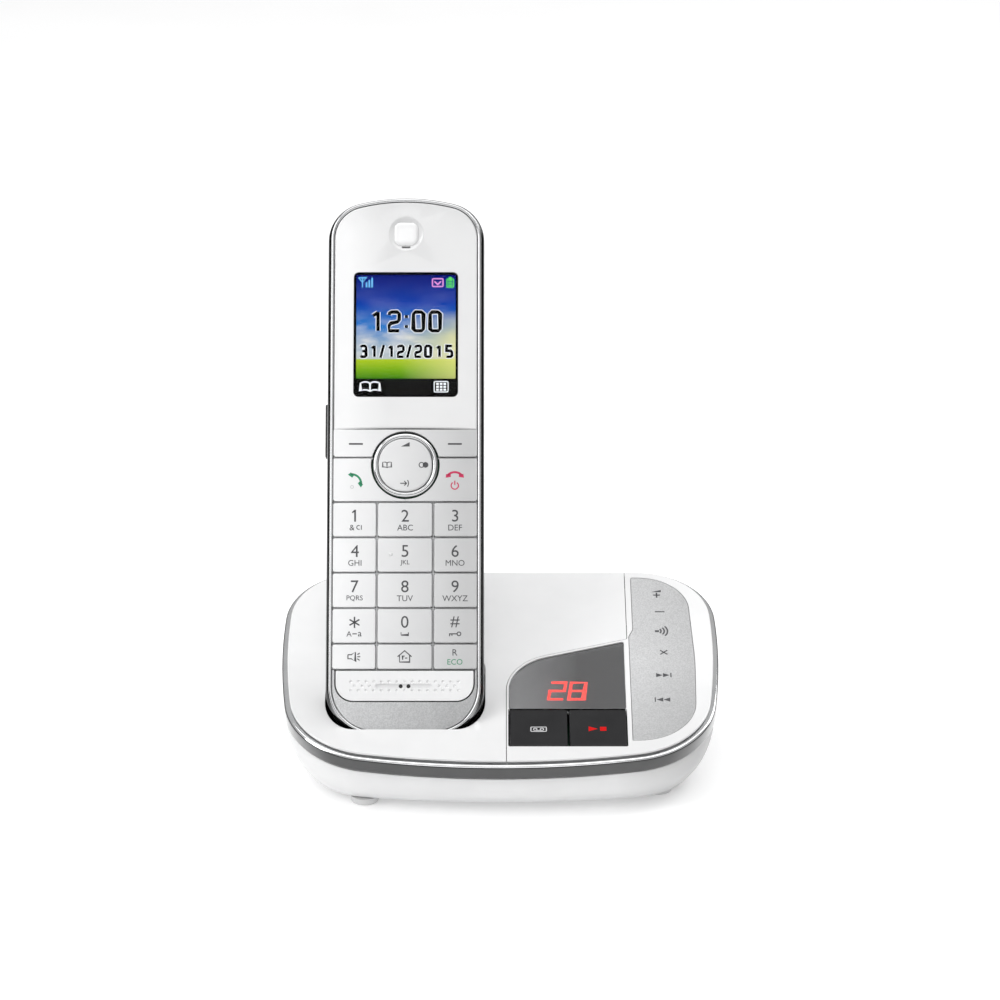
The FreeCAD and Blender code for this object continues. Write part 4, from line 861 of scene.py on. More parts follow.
# the printed back of the lens
lensMask = slab("lensMask", lensOutline(-lens["printInset"]), lens["printBottom"],
                lens["printTop"], over=0.02)
settle(paint(lensMask, "lensPrint"), deckPlane, "base")


def icon(finish, level, *lines, width=0.35):
    # open lines given as lists of points
    return [stroke(points, width, finish, level) for points in lines]


def moved(points, x, y, size=1.0):
    return [(x + across * size, y + up * size) for across, up in points]


half, split = deckKey["gap"] / 2, deckKey["split"]


def deckKeyCap(left, right):
    outline = boxOutline(left, right, deckKey["low"], deckKey["high"], deckKey["corner"], 22.5)
    return paint(slab("key", outline, -deckKey["thick"], 0, over=deckKey["round"], steps=4),
                 "black_gloss")


answerKey = deckKeyCap(lens["left"], split - half)
x, y = 11.4, 14.2               # a tape cassette
tape = [ringStroke(boxOutline(x - 2.3, x + 2.3, y - 1.0, y + 1.0, 0.3, 30), 0.3, "legendPale", 0)]
tape += [ringStroke(discOutline(reel, y, 0.5, 16), 0.28, "legendPale", 0)
         for reel in (x - 1.0, x + 1.0)]
tape += icon("legendPale", 0, [(x - 1.0, y - 0.5), (x + 1.0, y - 0.5)], width=0.26)
settle(join("answerKey", [answerKey] + tape), deckPlane, "answer_key", ["answer_key"])

playKey = deckKeyCap(split + half, lens["right"])
x, y = 28.9, 14.4               # play and stop
marks = [patch([(x - 2.6, y - 1.1), (x + 0.1, y), (x - 2.6, y + 1.1)], "keyRed", 0),
         patch(boxOutline(x + 0.8, x + 2.7, y - 0.9, y + 0.9), "keyRed", 0)]
settle(join("playKey", [playKey] + marks), deckPlane, "play_key", ["play_key"])

panelPlate = paint(slab("plate", panelOutline(), -controlPanel["thick"], 0), "panelSilver")
x = 48.8                        # louder, softer, loudspeaker, delete, forward and back
panelMarks = [patch([(x - 1.8, 79.3), (x + 1.2, 79.3), (x + 1.2, 80.3)], "legend", 0)]
panelMarks += icon("legend", 0, [(x - 1.3, 77.8), (x + 0.9, 77.8)], [(x - 0.2, 76.5), (x - 0.2, 79.0)],
                   [(x - 1.0, 69.6), (x + 2.0, 69.6)], width=0.46)
panelMarks += [patch(boxOutline(x - 1.3, x, 59.7, 60.6), "legend", 0)]
waves = [arcAround((x - 0.9, 60.2), radius, -40, 40, 8) for radius in (1.5, 2.5, 3.5)]
panelMarks += icon("legend", 0, *waves, width=0.5)
panelMarks += icon("legend", 0, [(x, 49.0), (x + 2.2, 51.0)], [(x, 51.0), (x + 2.2, 49.0)], width=0.42)
for sign, height, middle in ((1, 39.2, x + 0.4), (-1, 27.8, x + 0.3)):
    for step in (-1.0, 1.1):
        tip = middle + sign * (step + 1.0)
        back = middle + sign * (step - 1.0)
        wedge = [(back, height - 0.95), (tip, height), (back, height + 0.95)]
        panelMarks.append(patch(wedge if sign > 0 else wedge[::-1], "legend", 0))
    bar = middle + sign * 2.5
    panelMarks += icon("legend", 0, [(bar, height - 1.0), (bar, height + 1.0)], width=0.36)
settle(join("controlPanel", [panelPlate] + panelMarks), deckPlane, "base", ["control_panel"])
print("display, deck keys and control panel done")


# handset: shell, frame and trim

shell = {
    "half": 23.75, "length": 165.4, "thick": 25.0, "foot": 15.0, "top": 12.0,
    "crownFall": 13.5, "crown": 60.0, "backRound": 6.0, "wall": 1.8, "split": -8.0,
    "frameTop": -2.5, "frameFoot": -7.9, "frameRound": 2.05,   # it rolls over towards the face
}
apex = shell["length"] + shell["crown"] * (1 / cos(radians(shell["crownFall"])) - 1)
shoulder = apex - tan(radians(shell["crownFall"])) * shell["half"]
handsetOutline = roundOutline([(-shell["half"], 0, shell["foot"]), (shell["half"], 0, shell["foot"]),
                               (shell["half"], shoulder, shell["top"]), (0, apex, shell["crown"]),
                               (-shell["half"], shoulder, shell["top"])], turn=6, stretch=3.0)
soft, thick, wall = shell["backRound"], shell["thick"], shell["wall"]
turns = [radians(90 * step / 8) for step in range(9)]
profile = [(-soft * (1 - sin(turn)), -thick + soft * (1 - cos(turn))) for turn in turns]
profile += [(0, shell["split"] - 0.12), (-0.12, shell["split"]), (-wall, shell["split"])]
innerRound = soft - wall
profile += [(-wall - innerRound * (1 - cos(turn)), -thick + soft - innerRound * sin(turn))
            for turn in turns]
backShell = paint(loftProfile("backShell", handsetOutline, profile), "back_shell")

bay = {"half": 11.1, "low": 45.1, "high": 90.2, "top": -12.1, "floor": 0.9}
door = {"half": 17.5, "low": 40.0, "high": 94.0, "thick": 1.6, "gap": 0.35, "rest": 2.1, "bed": 1.8}
bosses = {
    "spots": [(x, y) for x in (-15.0, 15.0) for y in (30.0, 104.0)],
    "radius": 3.2, "top": -8.4, "hole": 2.2, "deep": 2.4,
}
sounder = {"half": 5.0, "rows": (117.0, 122.0, 127.0), "slot": 1.0, "end": 0.98}
pockets = {"across": 9.0, "half": 1.7, "near": 12.8, "far": 16.2, "deep": 2.7}   # charging contacts
jack = {"up": -97.0, "back": -13.5, "hole": 2.2, "plug": 1.6}
outside = -thick - 1
fuse(backShell, areaOutline(door, door["rest"], 1.0), -thick + 0.6, -thick + 3.6)
fuse(backShell, areaOutline(bay, wall, 0.8), -thick + 0.7, bay["top"] + bay["floor"])
for x, y in bosses["spots"]:
    fuse(backShell, discOutline(x, y, bosses["radius"], 24), -thick + 0.8, bosses["top"])
cutOut(backShell, areaOutline(bay, 0, 0.4), outside, bay["top"])
cutOut(backShell, areaOutline(door, door["gap"], 0.8, 22.5), outside, -thick + door["bed"])
for height in sounder["rows"]:
    slot = boxOutline(-sounder["half"], sounder["half"], height - sounder["slot"],
                      height + sounder["slot"], sounder["end"], 22.5)
    cutOut(backShell, slot, outside, -thick + 3)
for x, y in bosses["spots"]:
    cutOut(backShell, discOutline(x, y, bosses["hole"], 24), outside, -thick + bosses["deep"])
for side in (-1, 1):
    middle, half = side * pockets["across"], pockets["half"]
    pocket = slab("tool", boxOutline(middle - half, middle + half, pockets["near"], pockets["far"]),
                  -1, pockets["deep"], over=0)
    shapeWith(backShell, seen(pocket, wellPlane, facePlane))
jackHole = slab("tool", discOutline(jack["up"], jack["back"], jack["hole"], 24), 21.0, 26.0, over=0)
shapeWith(backShell, seen(jackHole, sidePlane, facePlane))
softenRims(backShell, -thick, 0.25, 2)
settle(backShell, facePlane, "handset", ["handset_back_cover"])

top, corner, foot = shell["frameTop"], shell["frameRound"], shell["frameFoot"]
frameProfile = [(-corner, foot), (-0.12, foot), (0, foot + 0.12), (0, top - corner)]
frameProfile += [(-corner * (1 - cos(turn)), top - corner + corner * sin(turn))
                 for turn in [radians(11.25 * step) for step in range(1, 9)]]
handsetFrame = paint(hoop("handsetFrame", handsetOutline, frameProfile), "frameChrome")
settle(handsetFrame, facePlane, "handset", ["handset_frame"])

trim = {"outer": -1.0, "inner": -2.0, "low": -2.45, "high": 0.2}
middle = (trim["outer"] + trim["inner"]) / 2
bead = [(middle + 0.5 * cos(turn), trim["high"] - 0.5 + 0.5 * sin(turn))
        for turn in [radians(22.5 * step) for step in range(9)]]
trimRing = paint(hoop("trimRing", handsetOutline, [(trim["outer"], trim["low"])] + bead
                      + [(trim["inner"], trim["low"])]), "chrome")
settle(trimRing, facePlane, "handset", ["handset_trim_ring"])
print("handset shell done")


# handset: front panel, earpiece and display

front = {"inset": -2.12, "thick": 2.2, "round": 0.55, "low": 93.05, "bow": 0.5}
window = {
    "half": 15.75, "low": 103.2, "high": 141.5, "corner": 1.6,
    "gap": 0.06, "back": -1.4, "front": -0.25,
}
ear = {"height": 153.45, "dish": 5.5, "deep": 1.1, "cap": 3.6, "slit": 149.3}
inner = grow(handsetOutline, front["inset"])
side = max(x for x, y in inner)
bow = [(side * step / 8, front["low"] + front["bow"] * (1 - (step / 8) ** 2)) for step in range(-8, 9)]
frontPanel = slab("frontPanel", bow + [spot for spot in inner if spot[1] > 100], -front["thick"], 0,
                  over=front["round"], steps=4)
paint(frontPanel, "faceWhite")
cutOut(frontPanel, areaOutline(window, window["gap"], window["corner"]), -5, 1)
dishLoops = []
for step in range(3, 13):
    radius = ear["dish"] * step / 12
    depth = ear["deep"] * cos(pi / 2 * step / 12) ** 0.8
    dishLoops.append([(x, y, -depth + 0.002) for x, y in discOutline(0, ear["height"], radius, 64)])
dishLoops.append([(x, y, 1.0) for x, y in discOutline(0, ear["height"], ear["dish"] + 0.05, 64)])
shapeWith(frontPanel, loft("tool", dishLoops))
cutOut(frontPanel, boxOutline(-1.3, 1.3, ear["slit"] - 0.3, ear["slit"] + 0.3, 0.2), -1.9, 1)
softenRims(frontPanel, 0, 0.12, 2)
settle(frontPanel, facePlane, "handset", ["handset_front_panel"])

half, middle = ear["cap"], ear["height"]
pillow = boxOutline(-half, half, middle - half, middle + half, 2.0, 6)
earCap = loftProfile("earCap", pillow, [(0, -1.2), (0, -0.62), (-0.08, -0.42), (-0.25, -0.2),
                                        (-0.52, -0.06), (-0.95, 0.03), (-1.5, 0.08), (-1.9, 0.1)])
settle(paint(earCap, "white_gloss"), facePlane, "handset", ["earpiece_cap"], smooth=60)

glass = areaOutline(window, 0, window["corner"])
lcdWindow = slab("lcdWindow", glass, window["back"], window["front"], over=0.12)
settle(paint(lcdWindow, "clear_window"), facePlane, "handset", ["lcd_window"])
screen = {
    "half": 15.05, "low": 109.0, "high": 140.9, "back": -1.66, "level": -1.60, "mask": (-2.15, -1.62),
}
mask = paint(slab("mask", glass, *screen["mask"], over=0.05), "screenBlack")
picture = slab("picture", areaOutline(screen, 0, 0.3), screen["back"], screen["level"], over=0)
paint(picture, "picture")
flat = picture.data.uv_layers.active
for loop in picture.data.loops:
    spot = picture.data.vertices[loop.vertex_index].co
    flat.data[loop.index].uv = ((spot.x + screen["half"]) / (2 * screen["half"]),
                                (spot.y - screen["low"]) / (screen["high"] - screen["low"]))
level = screen["level"] + 0.02
glyphs = {                      # each a list of open lines in a unit box
    "0": [[(0.5, 0), (0.8, 0), (1, 0.1), (1, 0.9), (0.8, 1), (0.2, 1), (0, 0.9), (0, 0.1), (0.2, 0),
           (0.5, 0)]],
    "1": [[(0.6, 0), (0.6, 1)], [(0.1, 0.8), (0.58, 0.97)]],
    "2": [[(0, 0.84), (0.05, 0.94), (0.2, 1), (0.8, 1), (1, 0.9), (1, 0.6), (0.85, 0.48), (0.15, 0.4),
           (0, 0.28), (0, 0), (1, 0)]],
    "3": [[(0, 0.9), (0.2, 1), (0.8, 1), (1, 0.9), (1, 0.1), (0.8, 0), (0.2, 0), (0, 0.1)],
          [(0.3, 0.52), (0.95, 0.52)]],
    "5": [[(1, 1), (0, 1), (0, 0.55), (0.8, 0.55), (1, 0.45), (1, 0.1), (0.8, 0), (0, 0)]],
    "/": [[(0.2, -0.08), (0.8, 1.08)]],
    ":": [[(0.5, 0.15), (0.5, 0.3)], [(0.5, 0.68), (0.5, 0.83)]],
}
clock = {                       # text, places of the characters, foot, height, width of one, line
    "time": ("12:00", (-10.3, -5.1, -1.4, 2.25, 7.3), 123.7, 5.8, 3.05, 1.05),
    "date": ("31/12/2015", (-13.7, -10.5, -8.0, -5.3, -2.4, 0.1, 2.9, 5.9, 9.2, 12.3),
             115.7, 3.35, 1.65, 0.8),
}
halo = 0.42                     # the pale edge of a character, both sides together
marks = []
for text, places, foot, tall, wide, line in clock.values():
    for character, left in zip(text, places):
        for points in glyphs[character]:
            spots = [(left + across * wide, foot + up * tall) for across, up in points]
            marks.append(stroke(spots, line + halo, "screenWhite", level))
            marks.append(stroke(spots, line, "screenBlack", level + 0.05))
x, y = -14.0, 138.6             # aerial and signal bars
aerial = [(-0.4, 1.5), (1.9, 1.5), (0.75, 0.1), (-0.4, 1.5)]
marks += icon("screenBlue", level, moved(aerial, x, y), [(x + 0.75, y + 1.5), (x + 0.75, y - 1.5)],
              width=0.34)
for bar in range(3):
    left = x + 1.7 + bar * 0.85
    column = boxOutline(left, left + 0.55, y - 1.5, y + 0.1 + bar * 0.7)
    marks.append(patch(column, "screenBlue", level))
x = 9.6                         # answering machine and battery
outline = boxOutline(x - 1.6, x + 1.6, y - 1.2, y + 1.2, 0.3, 30)
marks += [ringStroke(outline, 0.4, "screenPink", level)]
marks += icon("screenPink", level, [(x - 1.0, y + 0.4), (x, y - 0.6), (x + 1.0, y + 0.4)], width=0.45)
x = 13.4
outline = boxOutline(x - 1.0, x + 1.0, y - 1.4, y + 1.1, 0.2, 45)
marks += [ringStroke(outline, 0.35, "screenGreen", level),
          patch(boxOutline(x - 0.45, x + 0.45, y + 1.2, y + 1.75), "screenGreen", level)]
marks += [patch(boxOutline(x - 0.6, x + 0.6, y - 1.1 + 0.75 * bar, y - 0.6 + 0.75 * bar),
                "screenGreen", level) for bar in range(3)]
y = 106.5                       # soft key marks: book and keypad
page = [(0, -1.4), (0, 1.0), (0.9, 1.5), (2.0, 1.45), (2.9, 1.1), (2.9, -1.2), (2.0, -0.95),
        (0.9, -0.95), (0, -1.4)]
for sign in (-1, 1):
    marks += icon("screenWhite", level, moved([(across * sign, up) for across, up in page], -10.8, y),
                  width=0.42)
x = 10.7
marks.append(ringStroke(boxOutline(x - 2.1, x + 2.1, y - 1.6, y + 1.6, 0.4, 30), 0.32, "screenWhite",
                        level))
marks += [patch(boxOutline(x - 1.5 + 1.1 * column, x - 0.7 + 1.1 * column, y - 1.25 + 0.9 * row,
                           y - 0.6 + 0.9 * row), "screenWhite", level)
          for column in range(3) for row in range(3)]
lcdScreen = join("lcdScreen", [picture, mask] + marks)
settle(lcdScreen, facePlane, "handset")
print("front panel and display done")


# handset: keys

keys = {
    "padHalf": 21.93, "columnHalf": 8.44, "rowTop": 71.0, "pitch": 10.7, "lastRow": 7.85,
    "callRow": 13.55, "softTop": 93.4, "gap": 0.3, "bottom": -2.6, "top": 0.2, "round": 0.3,
    "corner": 0.6, "navigator": 82.25, "clear": 10.35,
    "lean": 0.15,               # how far the print of the outer columns stands off their middles
    "figure": 4.15, "figureHigh": 3.6, "letter": 7.75, "letterHigh": 1.75,   # down from a key's edge
}
columns = (-keys["padHalf"], -keys["columnHalf"], keys["columnHalf"], keys["padHalf"])


def keyCap(left, right, low, high):
    gap = keys["gap"]
    outline = boxOutline(left + gap, right - gap, low + gap, high - gap, keys["corner"], 15)
    return paint(slab("cap", outline, keys["bottom"], keys["top"], over=keys["round"], steps=4),
                 "key_plastic")


def aroundNavigator(side, low, high):
    # a key beside the navigator, its inner edge hollowed round it
    gap, reach, centre = keys["gap"], keys["clear"], keys["navigator"]
    low, high = low + gap, high - gap
    meets = 0.03                # the two sides meet in the middle
    outer = keys["padHalf"] - gap
    steep = degrees(atan2(sqrt(reach ** 2 - meets ** 2), meets))
    outline = [(outer - 0.5, low), (outer, low + 0.5), (outer, high)]
    if high > centre + reach * 0.5:                       # softkeys, above
        last = degrees(atan2(low - centre, sqrt(reach ** 2 - (low - centre) ** 2)))
        arc = arcAround((0, centre), reach, last, steep, 14)
        outline = outline + [(meets, high)] + arc[::-1]
    else:                                                 # talk and end, below
        last = degrees(atan2(high - centre, sqrt(reach ** 2 - (high - centre) ** 2)))
        arc = arcAround((0, centre), reach, -steep, last, 20)
        outline = [(meets, low)] + outline + arc[::-1]
    if side < 0:
        outline = [(-x, y) for x, y in outline[::-1]]
    return paint(slab("cap", outline, keys["bottom"], keys["top"], over=0.16), "key_plastic")


def printed(symbol, x, y, height, finish="legend"):
    return lettering(symbol, x, y, height, finish, keys["top"])


def finishKey(node, parts):
    first, *rest = node.split("_")
    name = first + "".join(word.capitalize() for word in rest)
    return settle(join(name, parts), facePlane, node, [node])


top = keys["top"]
letters = ("", "ABC", "DEF", "GHI", "JKL", "MNO", "PQRS", "TUV", "WXYZ")
middles = [(columns[column] + columns[column + 1]) / 2 + (1 - column) * keys["lean"]
           for column in range(3)]
for number in range(9):
    column, row = number % 3, number // 3
    left, right = columns[column], columns[column + 1]
    high = keys["rowTop"] - keys["pitch"] * row
    low = high - keys["pitch"]
    x, letterLevel = middles[column], high - keys["letter"]
    parts = [keyCap(left, right, low, high),
             printed(str(number + 1), x, high - keys["figure"], keys["figureHigh"])]
    if number == 0:             # a flag on the 1
        parts += icon("legend", top, [(x - 0.85, high - 3.25), (x - 0.1, high - 2.55)], width=0.42)
    if letters[number]:
        parts.append(printed(letters[number], x, letterLevel, keys["letterHigh"]))
    else:
        parts.append(printed("&", x - 0.9, letterLevel, 1.7))
        parts += icon("legend", top, arcAround((x + 1.1, high - 7.7), 0.6, 60, 300, 8),
                      [(x + 1.9, high - 7.0), (x + 1.9, high - 8.4)], width=0.24)
    if number == 4:             # a raised dot beside the 5
        dot = discOutline(x - 4.3, high - 5.1, 0.55, 24)
        rise = [(0, top - 0.05), (0, top + 0.08), (-0.12, top + 0.22), (-0.3, top + 0.28)]
        parts.append(paint(loftProfile("dot", dot, rise), "key_plastic"))
    finishKey(f"key_{number + 1}", parts)

high = keys["rowTop"] - 3 * keys["pitch"]
low = high - keys["pitch"]
figureLevel, letterLevel = high - keys["figure"], high - keys["letter"]
parts = [keyCap(columns[0], columns[1], low, high)]
x, y, arm = middles[0], high - 4.3, 1.7   # a star of three lines
for turn in (90, 150, 210):
    across, up = cos(radians(turn)) * arm, sin(radians(turn)) * arm
    parts += icon("legend", top, [(x + across, y + up), (x - across, y - up)], width=0.42)
parts += [printed("A", x - 1.6, letterLevel, 1.6), printed("a", x + 1.6, letterLevel - 0.1, 1.3)]
parts += icon("legend", top, [(x - 0.6, letterLevel), (x + 0.7, letterLevel)], width=0.3)
finishKey("key_star", parts)
x = middles[1]
parts = [keyCap(columns[1], columns[2], low, high), printed("0", x, figureLevel, keys["figureHigh"])]
parts += icon("legend", top, [(x - 1.1, high - 7.3), (x - 1.1, high - 8.1), (x + 1.1, high - 8.1),
                              (x + 1.1, high - 7.3)], width=0.28)
finishKey("key_0", parts)
parts = [keyCap(columns[2], columns[3], low, high), printed("#", middles[2], figureLevel, 3.3)]
x, y = middles[2], letterLevel  # a little key
parts.append(ringStroke(discOutline(x + 1.2, y, 0.55, 20), 0.3, "legend", top))
parts += icon("legend", top, [(x + 0.6, y), (x - 1.8, y)], [(x - 1.6, y), (x - 1.6, y - 0.7)],
              [(x - 0.9, y), (x - 0.9, y - 0.6)], width=0.3)
finishKey("key_hash", parts)

high = low
low = high - keys["lastRow"]
y = (low + high) / 2
parts = [keyCap(columns[0], columns[1], low, high)]
x = middles[0]                  # a loudspeaker
parts += icon("legend", top, moved([(-1.9, 0.6), (-0.9, 0.6), (0.3, 1.4), (0.3, -1.4), (-0.9, -0.6),
                                    (-1.9, -0.6), (-1.9, 0.6)], x, y),
              [(x + 0.9, y + 0.6), (x + 1.6, y + 1.1)], [(x + 0.9, y), (x + 1.8, y)],
              [(x + 0.9, y - 0.6), (x + 1.6, y - 1.1)], width=0.3)
finishKey("speaker_key", parts)
parts = [keyCap(columns[1], columns[2], low, high)]
x = middles[1]                  # a house
parts += icon("legend", top, moved([(-2.1, 0.0), (0, 1.8), (2.1, 0.0)], x, y),
              moved([(-1.5, 0.4), (-1.5, -1.6), (1.5, -1.6), (1.5, 0.4)], x, y),
              moved([(-0.6, -0.9), (-0.6, 0.2), (0.0, 0.2)], x, y),
              moved([(0.1, -0.4), (0.8, -0.4)], x, y), width=0.3)
finishKey("intercom_key", parts)
parts = [keyCap(columns[2], columns[3], low, high), printed("R", middles[2], y + 1.3, 1.9),
         printed("ECO", middles[2], y - 1.55, 1.65, "printGreen")]
finishKey("recall_key", parts)

callTop = keys["rowTop"] + keys["callRow"]
for side, name in ((-1, "left"), (1, "right")):
    parts = [aroundNavigator(side, callTop, keys["softTop"])]
    parts += icon("legend", top, [(side * 14.9 - 2.1, 88.7), (side * 14.9 + 2.1, 88.7)], width=0.5)
    finishKey(f"softkey_{name}", parts)


def receiverIcon(x, y, turn, finish):
    # a handset: a bowed grip with an ear and a mouth end
    parts = [stroke(arcAround((0, -2.2), 2.9, 42, 138, 10), 0.62, finish, 0),
             patch([(-2.75, -1.0), (-1.2, -0.75), (-1.25, 0.1), (-2.6, 0.1)], finish, 0),
             patch([(1.2, -0.75), (2.75, -1.0), (2.6, 0.1), (1.25, 0.1)], finish, 0)]
    piece = join("receiver", parts)
    piece.data.transform(Matrix.Translation((x, y, top)) @ Matrix.Rotation(radians(turn), 4, "Z"))
    return piece


parts = [aroundNavigator(-1, keys["rowTop"], callTop), receiverIcon(-14.6, 78.1, -45, "printGreen"),
         ringStroke(discOutline(-16.0, 75.6, 0.45, 16), 0.22, "legendPale", top)]
finishKey("talk_key", parts)
parts = [aroundNavigator(1, keys["rowTop"], callTop), receiverIcon(14.9, 79.4, 0, "printRed")]
x, y = 14.9, 76.0               # power mark
parts += icon("printRed", top, arcAround((x, y), 1.1, 125, 415, 18), [(x, y + 0.2), (x, y + 1.5)],
              width=0.34)
finishKey("end_key", parts)

navigator = {
    "radius": 9.75, "key": 8.05, "low": -3.4, "ringTop": 0.4, "keyTop": 0.6, "bead": 0.8,
    "ringSquare": 2.1, "keySquare": 2.15,
}
disc = discOutline(0, keys["navigator"], navigator["key"], 96, navigator["keySquare"])
parts = [paint(slab("key", disc, navigator["low"], navigator["keyTop"], over=0.5, steps=5),
               "key_plastic")]
y, level = keys["navigator"], navigator["keyTop"]
parts += [patch([(-1.3, y + 5.6), (1.3, y + 5.6), (1.3, y + 6.9)], "legend", level)]
page = [(0, -0.85), (0, 0.6), (0.5, 0.85), (1.3, 0.8), (1.3, -0.65), (0.5, -0.65), (0, -0.85)]
for sign in (-1, 1):
    leafEdge = moved([(across * sign, up) for across, up in page], -5.5, y)
    parts += icon("legend", level, leafEdge, width=0.24)
parts += [ringStroke(discOutline(4.9, y, 0.75, 20), 0.26, "legend", level),
          patch(discOutline(6.1, y, 0.85, 20), "legend", level)]
parts += icon("legend", level, [(-1.5, y - 5.6), (0.3, y - 5.6)],
              [(-0.3, y - 4.9), (0.4, y - 5.6), (-0.3, y - 6.3)],
              arcAround((-0.6, y - 5.6), 1.6, -38, 38, 6), width=0.28)
settle(join("navigatorKey", parts), facePlane, "navigator", ["navigator_key"])
ringTop, half = navigator["ringTop"], navigator["bead"]
bead = [(-half + half * cos(turn), ringTop - half + half * sin(turn))
        for turn in [radians(18 * step) for step in range(11)]]
outline = discOutline(0, keys["navigator"], navigator["radius"], 96, navigator["ringSquare"])
navigatorRing = hoop("navigatorRing", outline,
                     [(0, navigator["low"])] + bead + [(-2 * half, navigator["low"])])
settle(paint(navigatorRing, "chrome"), facePlane, "navigator", ["navigator_ring"])
print("keys done")


# handset: lower end

mouth = {
    "half": 20.8, "low": 10.85, "high": 20.3, "corner": 5.5, "thick": 2.2,
    "pitch": 2.3, "rows": (14.2, 16.83), "middleRow": 15.49, "first": 10.35,   # the dimples
    "dimple": 0.52, "dish": [(-0.38, -0.34), (-0.22, -0.28), (-0.06, -0.12), (0, 0.02), (0, 0.4)],
    "port": 0.6, "portAcross": 1.16, "portHigh": 15.5, "slot": (-8.75, 8.25, 14.8, 16.2),
}
half, low, high = mouth["half"], mouth["low"], mouth["high"]
outline = roundOutline([(-half, low, mouth["corner"]), (half, low, mouth["corner"]), (half, high, 0.4),
                        (-half, high, 0.4)], turn=7.5)
mouthPanel = slab("mouthPanel", grow(outline, -0.2), -mouth["thick"], 0, over=0.2)
paint(mouthPanel, "white_satin")
spots = [((index - 7) * mouth["pitch"], height) for index in range(15) for height in mouth["rows"]]
spots += [(side * (mouth["first"] + index * mouth["pitch"]), mouth["middleRow"])
          for index in range(3) for side in (-1, 1)]
ports = [(side * mouth["portAcross"], mouth["portHigh"]) for side in (-1, 1)]
for x, y in ports:
    cutOut(mouthPanel, discOutline(x, y, mouth["port"], 24), -1.6, 1)
cutOut(mouthPanel, boxOutline(*mouth["slot"], 0.69, 15), -0.5, 1.2)
dimples = [loftProfile("dimple", discOutline(x, y, mouth["dimple"], 16), mouth["dish"])
           for x, y in spots]
shapeWith(mouthPanel, join("tool", dimples))
plugs = [slab("plug", discOutline(x, y, mouth["port"] - 0.02, 24), -2.1, -0.52, over=0.05)
         for x, y in ports]     # the dark microphone ports
for plug in plugs:
    paint(plug, "rubber_black")
join("mouthPanel", [mouthPanel] + plugs)
settle(mouthPanel, facePlane, "handset", ["mouthpiece_panel"], smooth=25)

chinCut = {"inset": 2.12, "foot": 12.9, "gap": 0.16, "corner": 0.25, "hollow": 5.6, "thick": 2.2}
side, foot, corner = shell["half"] - chinCut["inset"], chinCut["foot"], chinCut["corner"]
shelf, hollow = mouth["low"] - chinCut["gap"], mouth["half"] + chinCut["gap"]
bottom, rounded = chinCut["inset"], chinCut["hollow"]
outline = roundOutline([(-side, bottom, foot), (side, bottom, foot), (side, high, corner),
                        (hollow, high, corner), (hollow, shelf, rounded), (-hollow, shelf, rounded),
                        (-hollow, high, corner), (-side, high, corner)], turn=6)
chin = paint(slab("chin", outline, -chinCut["thick"], 0, over=0.15), "silver")
settle(chin, facePlane, "handset", ["handset_chin"])

# handset: back and side

batteryDoor = slab("batteryDoor", areaOutline(door, 0, 0.6, 22.5), -thick, -thick + door["thick"],
                   over=0.1, under=0.3)
paint(batteryDoor, "back_shell")
grip = {                        # finger grooves, and the arrow below them
    "first": 84.0, "pitch": 1.9, "reach": 7.5, "narrowing": 0.9,
    "half": 0.45, "end": 0.44, "deep": 0.4,
    "arrow": [(-2.2, 80.2), (0, 77.0), (2.2, 80.2)], "arrowDeep": 0.35,
}
for index in range(5):
    height = grip["first"] + index * grip["pitch"]
    reach = grip["reach"] - abs(index - 2) * grip["narrowing"]
    groove = boxOutline(-reach, reach, height - grip["half"], height + grip["half"], grip["end"], 22.5)
    cutOut(batteryDoor, groove, outside, -thick + grip["deep"], over=0.15)
cutOut(batteryDoor, grip["arrow"], outside, -thick + grip["arrowDeep"])
softenRims(batteryDoor, -thick, 0.1, 2)
settle(batteryDoor, facePlane, "battery_door", ["battery_door"])

flap = {
    "low": 86.5, "high": 102.8, "near": -11.1, "far": -15.9,
    "foot": 23.85, "top": 24.65, "plugEnd": 22.2,
}
outline = boxOutline(-flap["high"], -flap["low"], flap["far"], flap["near"], 0.9, 15)
parts = [slab("flap", outline, flap["foot"], flap["top"], over=0.3, steps=4)]
plug = discOutline(jack["up"], jack["back"], jack["plug"], 24)
parts.append(slab("plug", plug, flap["plugEnd"], flap["foot"] + 0.2, over=0, under=0.3))
headsetCover = paint(join("headsetCover", parts), "rubber_black")
settle(headsetCover, sidePlane, "headset_cover", ["headset_cover"])
print("lower end, back and side done")


# stage, camera and light

table = {"size": 40, "tints": ((0.93, 0.93, 0.93), (0.95, 0.95, 0.95)), "glow": 0.22}
bpy.ops.object.select_all(action="DESELECT")
bpy.ops.mesh.primitive_plane_add(size=table["size"])
floor = bpy.context.object
floor.name = "floor"
floorPaint = surfaceFinish("floorPaint", table["tints"], (0.55, 0.65), mottle=3, grain=500, bump=0.01)
dial(floorPaint.node_tree.nodes["Principled BSDF"],
     {"Emission Color": (1, 1, 1, 1), "Emission Strength": table["glow"]})
floor.data.materials.append(floorPaint)

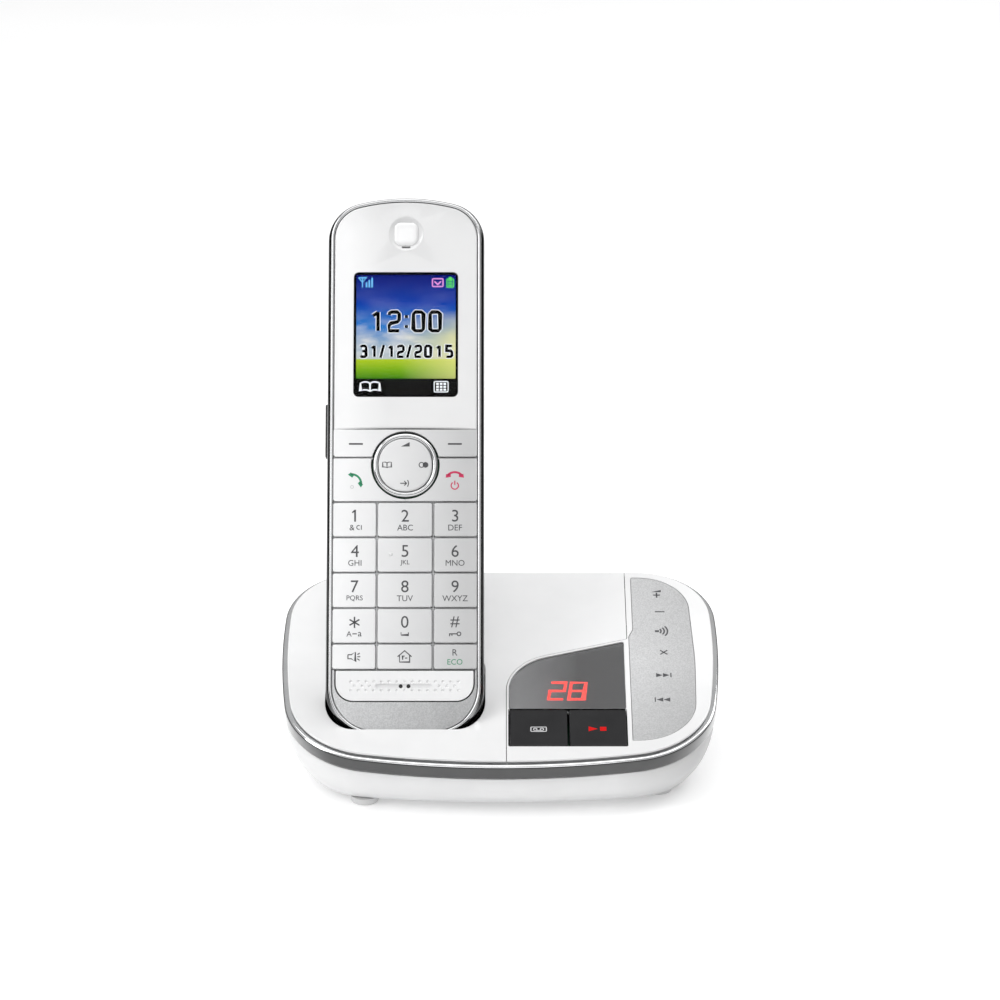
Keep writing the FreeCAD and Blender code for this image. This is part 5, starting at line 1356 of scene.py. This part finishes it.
view = {
    "stand": Vector((-0.0001, -1.0839, 0.4854)), "aim": Vector((-0.0001, -0.0067, 0.0827)),
    "lens": 137.5, "film": 36.0,
}
camera = bpy.data.objects.new("camera", bpy.data.cameras.new("camera"))
camera.data.lens = view["lens"]
camera.data.sensor_width = view["film"]
camera.location = view["stand"]
camera.rotation_euler = (view["aim"] - view["stand"]).to_track_quat("-Z", "Y").to_euler()
bpy.context.scene.collection.objects.link(camera)
bpy.context.scene.camera = camera

lamps = {
    "overhead": {"at": (0.0, 0.05, 1.1), "to": (0, 0, 0.06), "size": (1.3, 0.7), "power": 5.2},
    "left": {"at": (-0.95, -0.35, 0.75), "to": (0, 0, 0.06), "size": (0.5, 0.9), "power": 5.0},
    "front": {"at": (0.0, -1.5, 1.2), "to": (0, 0, 0.06), "size": (0.9, 0.5), "power": 1.9},
    "right": {"at": (0.95, 0.5, 0.85), "to": (0.02, 0, 0.04), "size": (0.5, 0.9), "power": 4.0},
}
for name, lamp in lamps.items():
    light = bpy.data.lights.new(name, "AREA")
    light.shape = "RECTANGLE"
    light.size, light.size_y = lamp["size"]
    light.energy = lamp["power"]
    holder = bpy.data.objects.new(name, light)
    holder.location = lamp["at"]
    towards = Vector(lamp["to"]) - Vector(lamp["at"])
    holder.rotation_euler = towards.to_track_quat("-Z", "Y").to_euler()
    bpy.context.scene.collection.objects.link(holder)
room = {                        # the light all round, by height
    "tones": [(0.0, (0.5, 0.5, 0.51)), (0.25, (0.02, 0.02, 0.021)), (0.43, (0.03, 0.03, 0.031)),
              (0.50, (0.25, 0.25, 0.255)), (0.58, (0.85, 0.85, 0.855)), (1.0, (1.0, 1.0, 1.0))],
    "from": -0.4, "to": 1.0, "strength": 0.7,
}
world = bpy.data.worlds.new("room")
bpy.context.scene.world = world
world.use_nodes = True
tree = world.node_tree
height = spread(tree, axesOf(tree, "Generated")["Z"], 0, 1, (room["from"], room["to"]))
tree.links.new(rampOf(tree, height, room["tones"]), tree.nodes["Background"].inputs["Color"])
tree.nodes["Background"].inputs["Strength"].default_value = room["strength"]
bpy.context.scene.view_settings.view_transform = "Standard"
print("stage set")
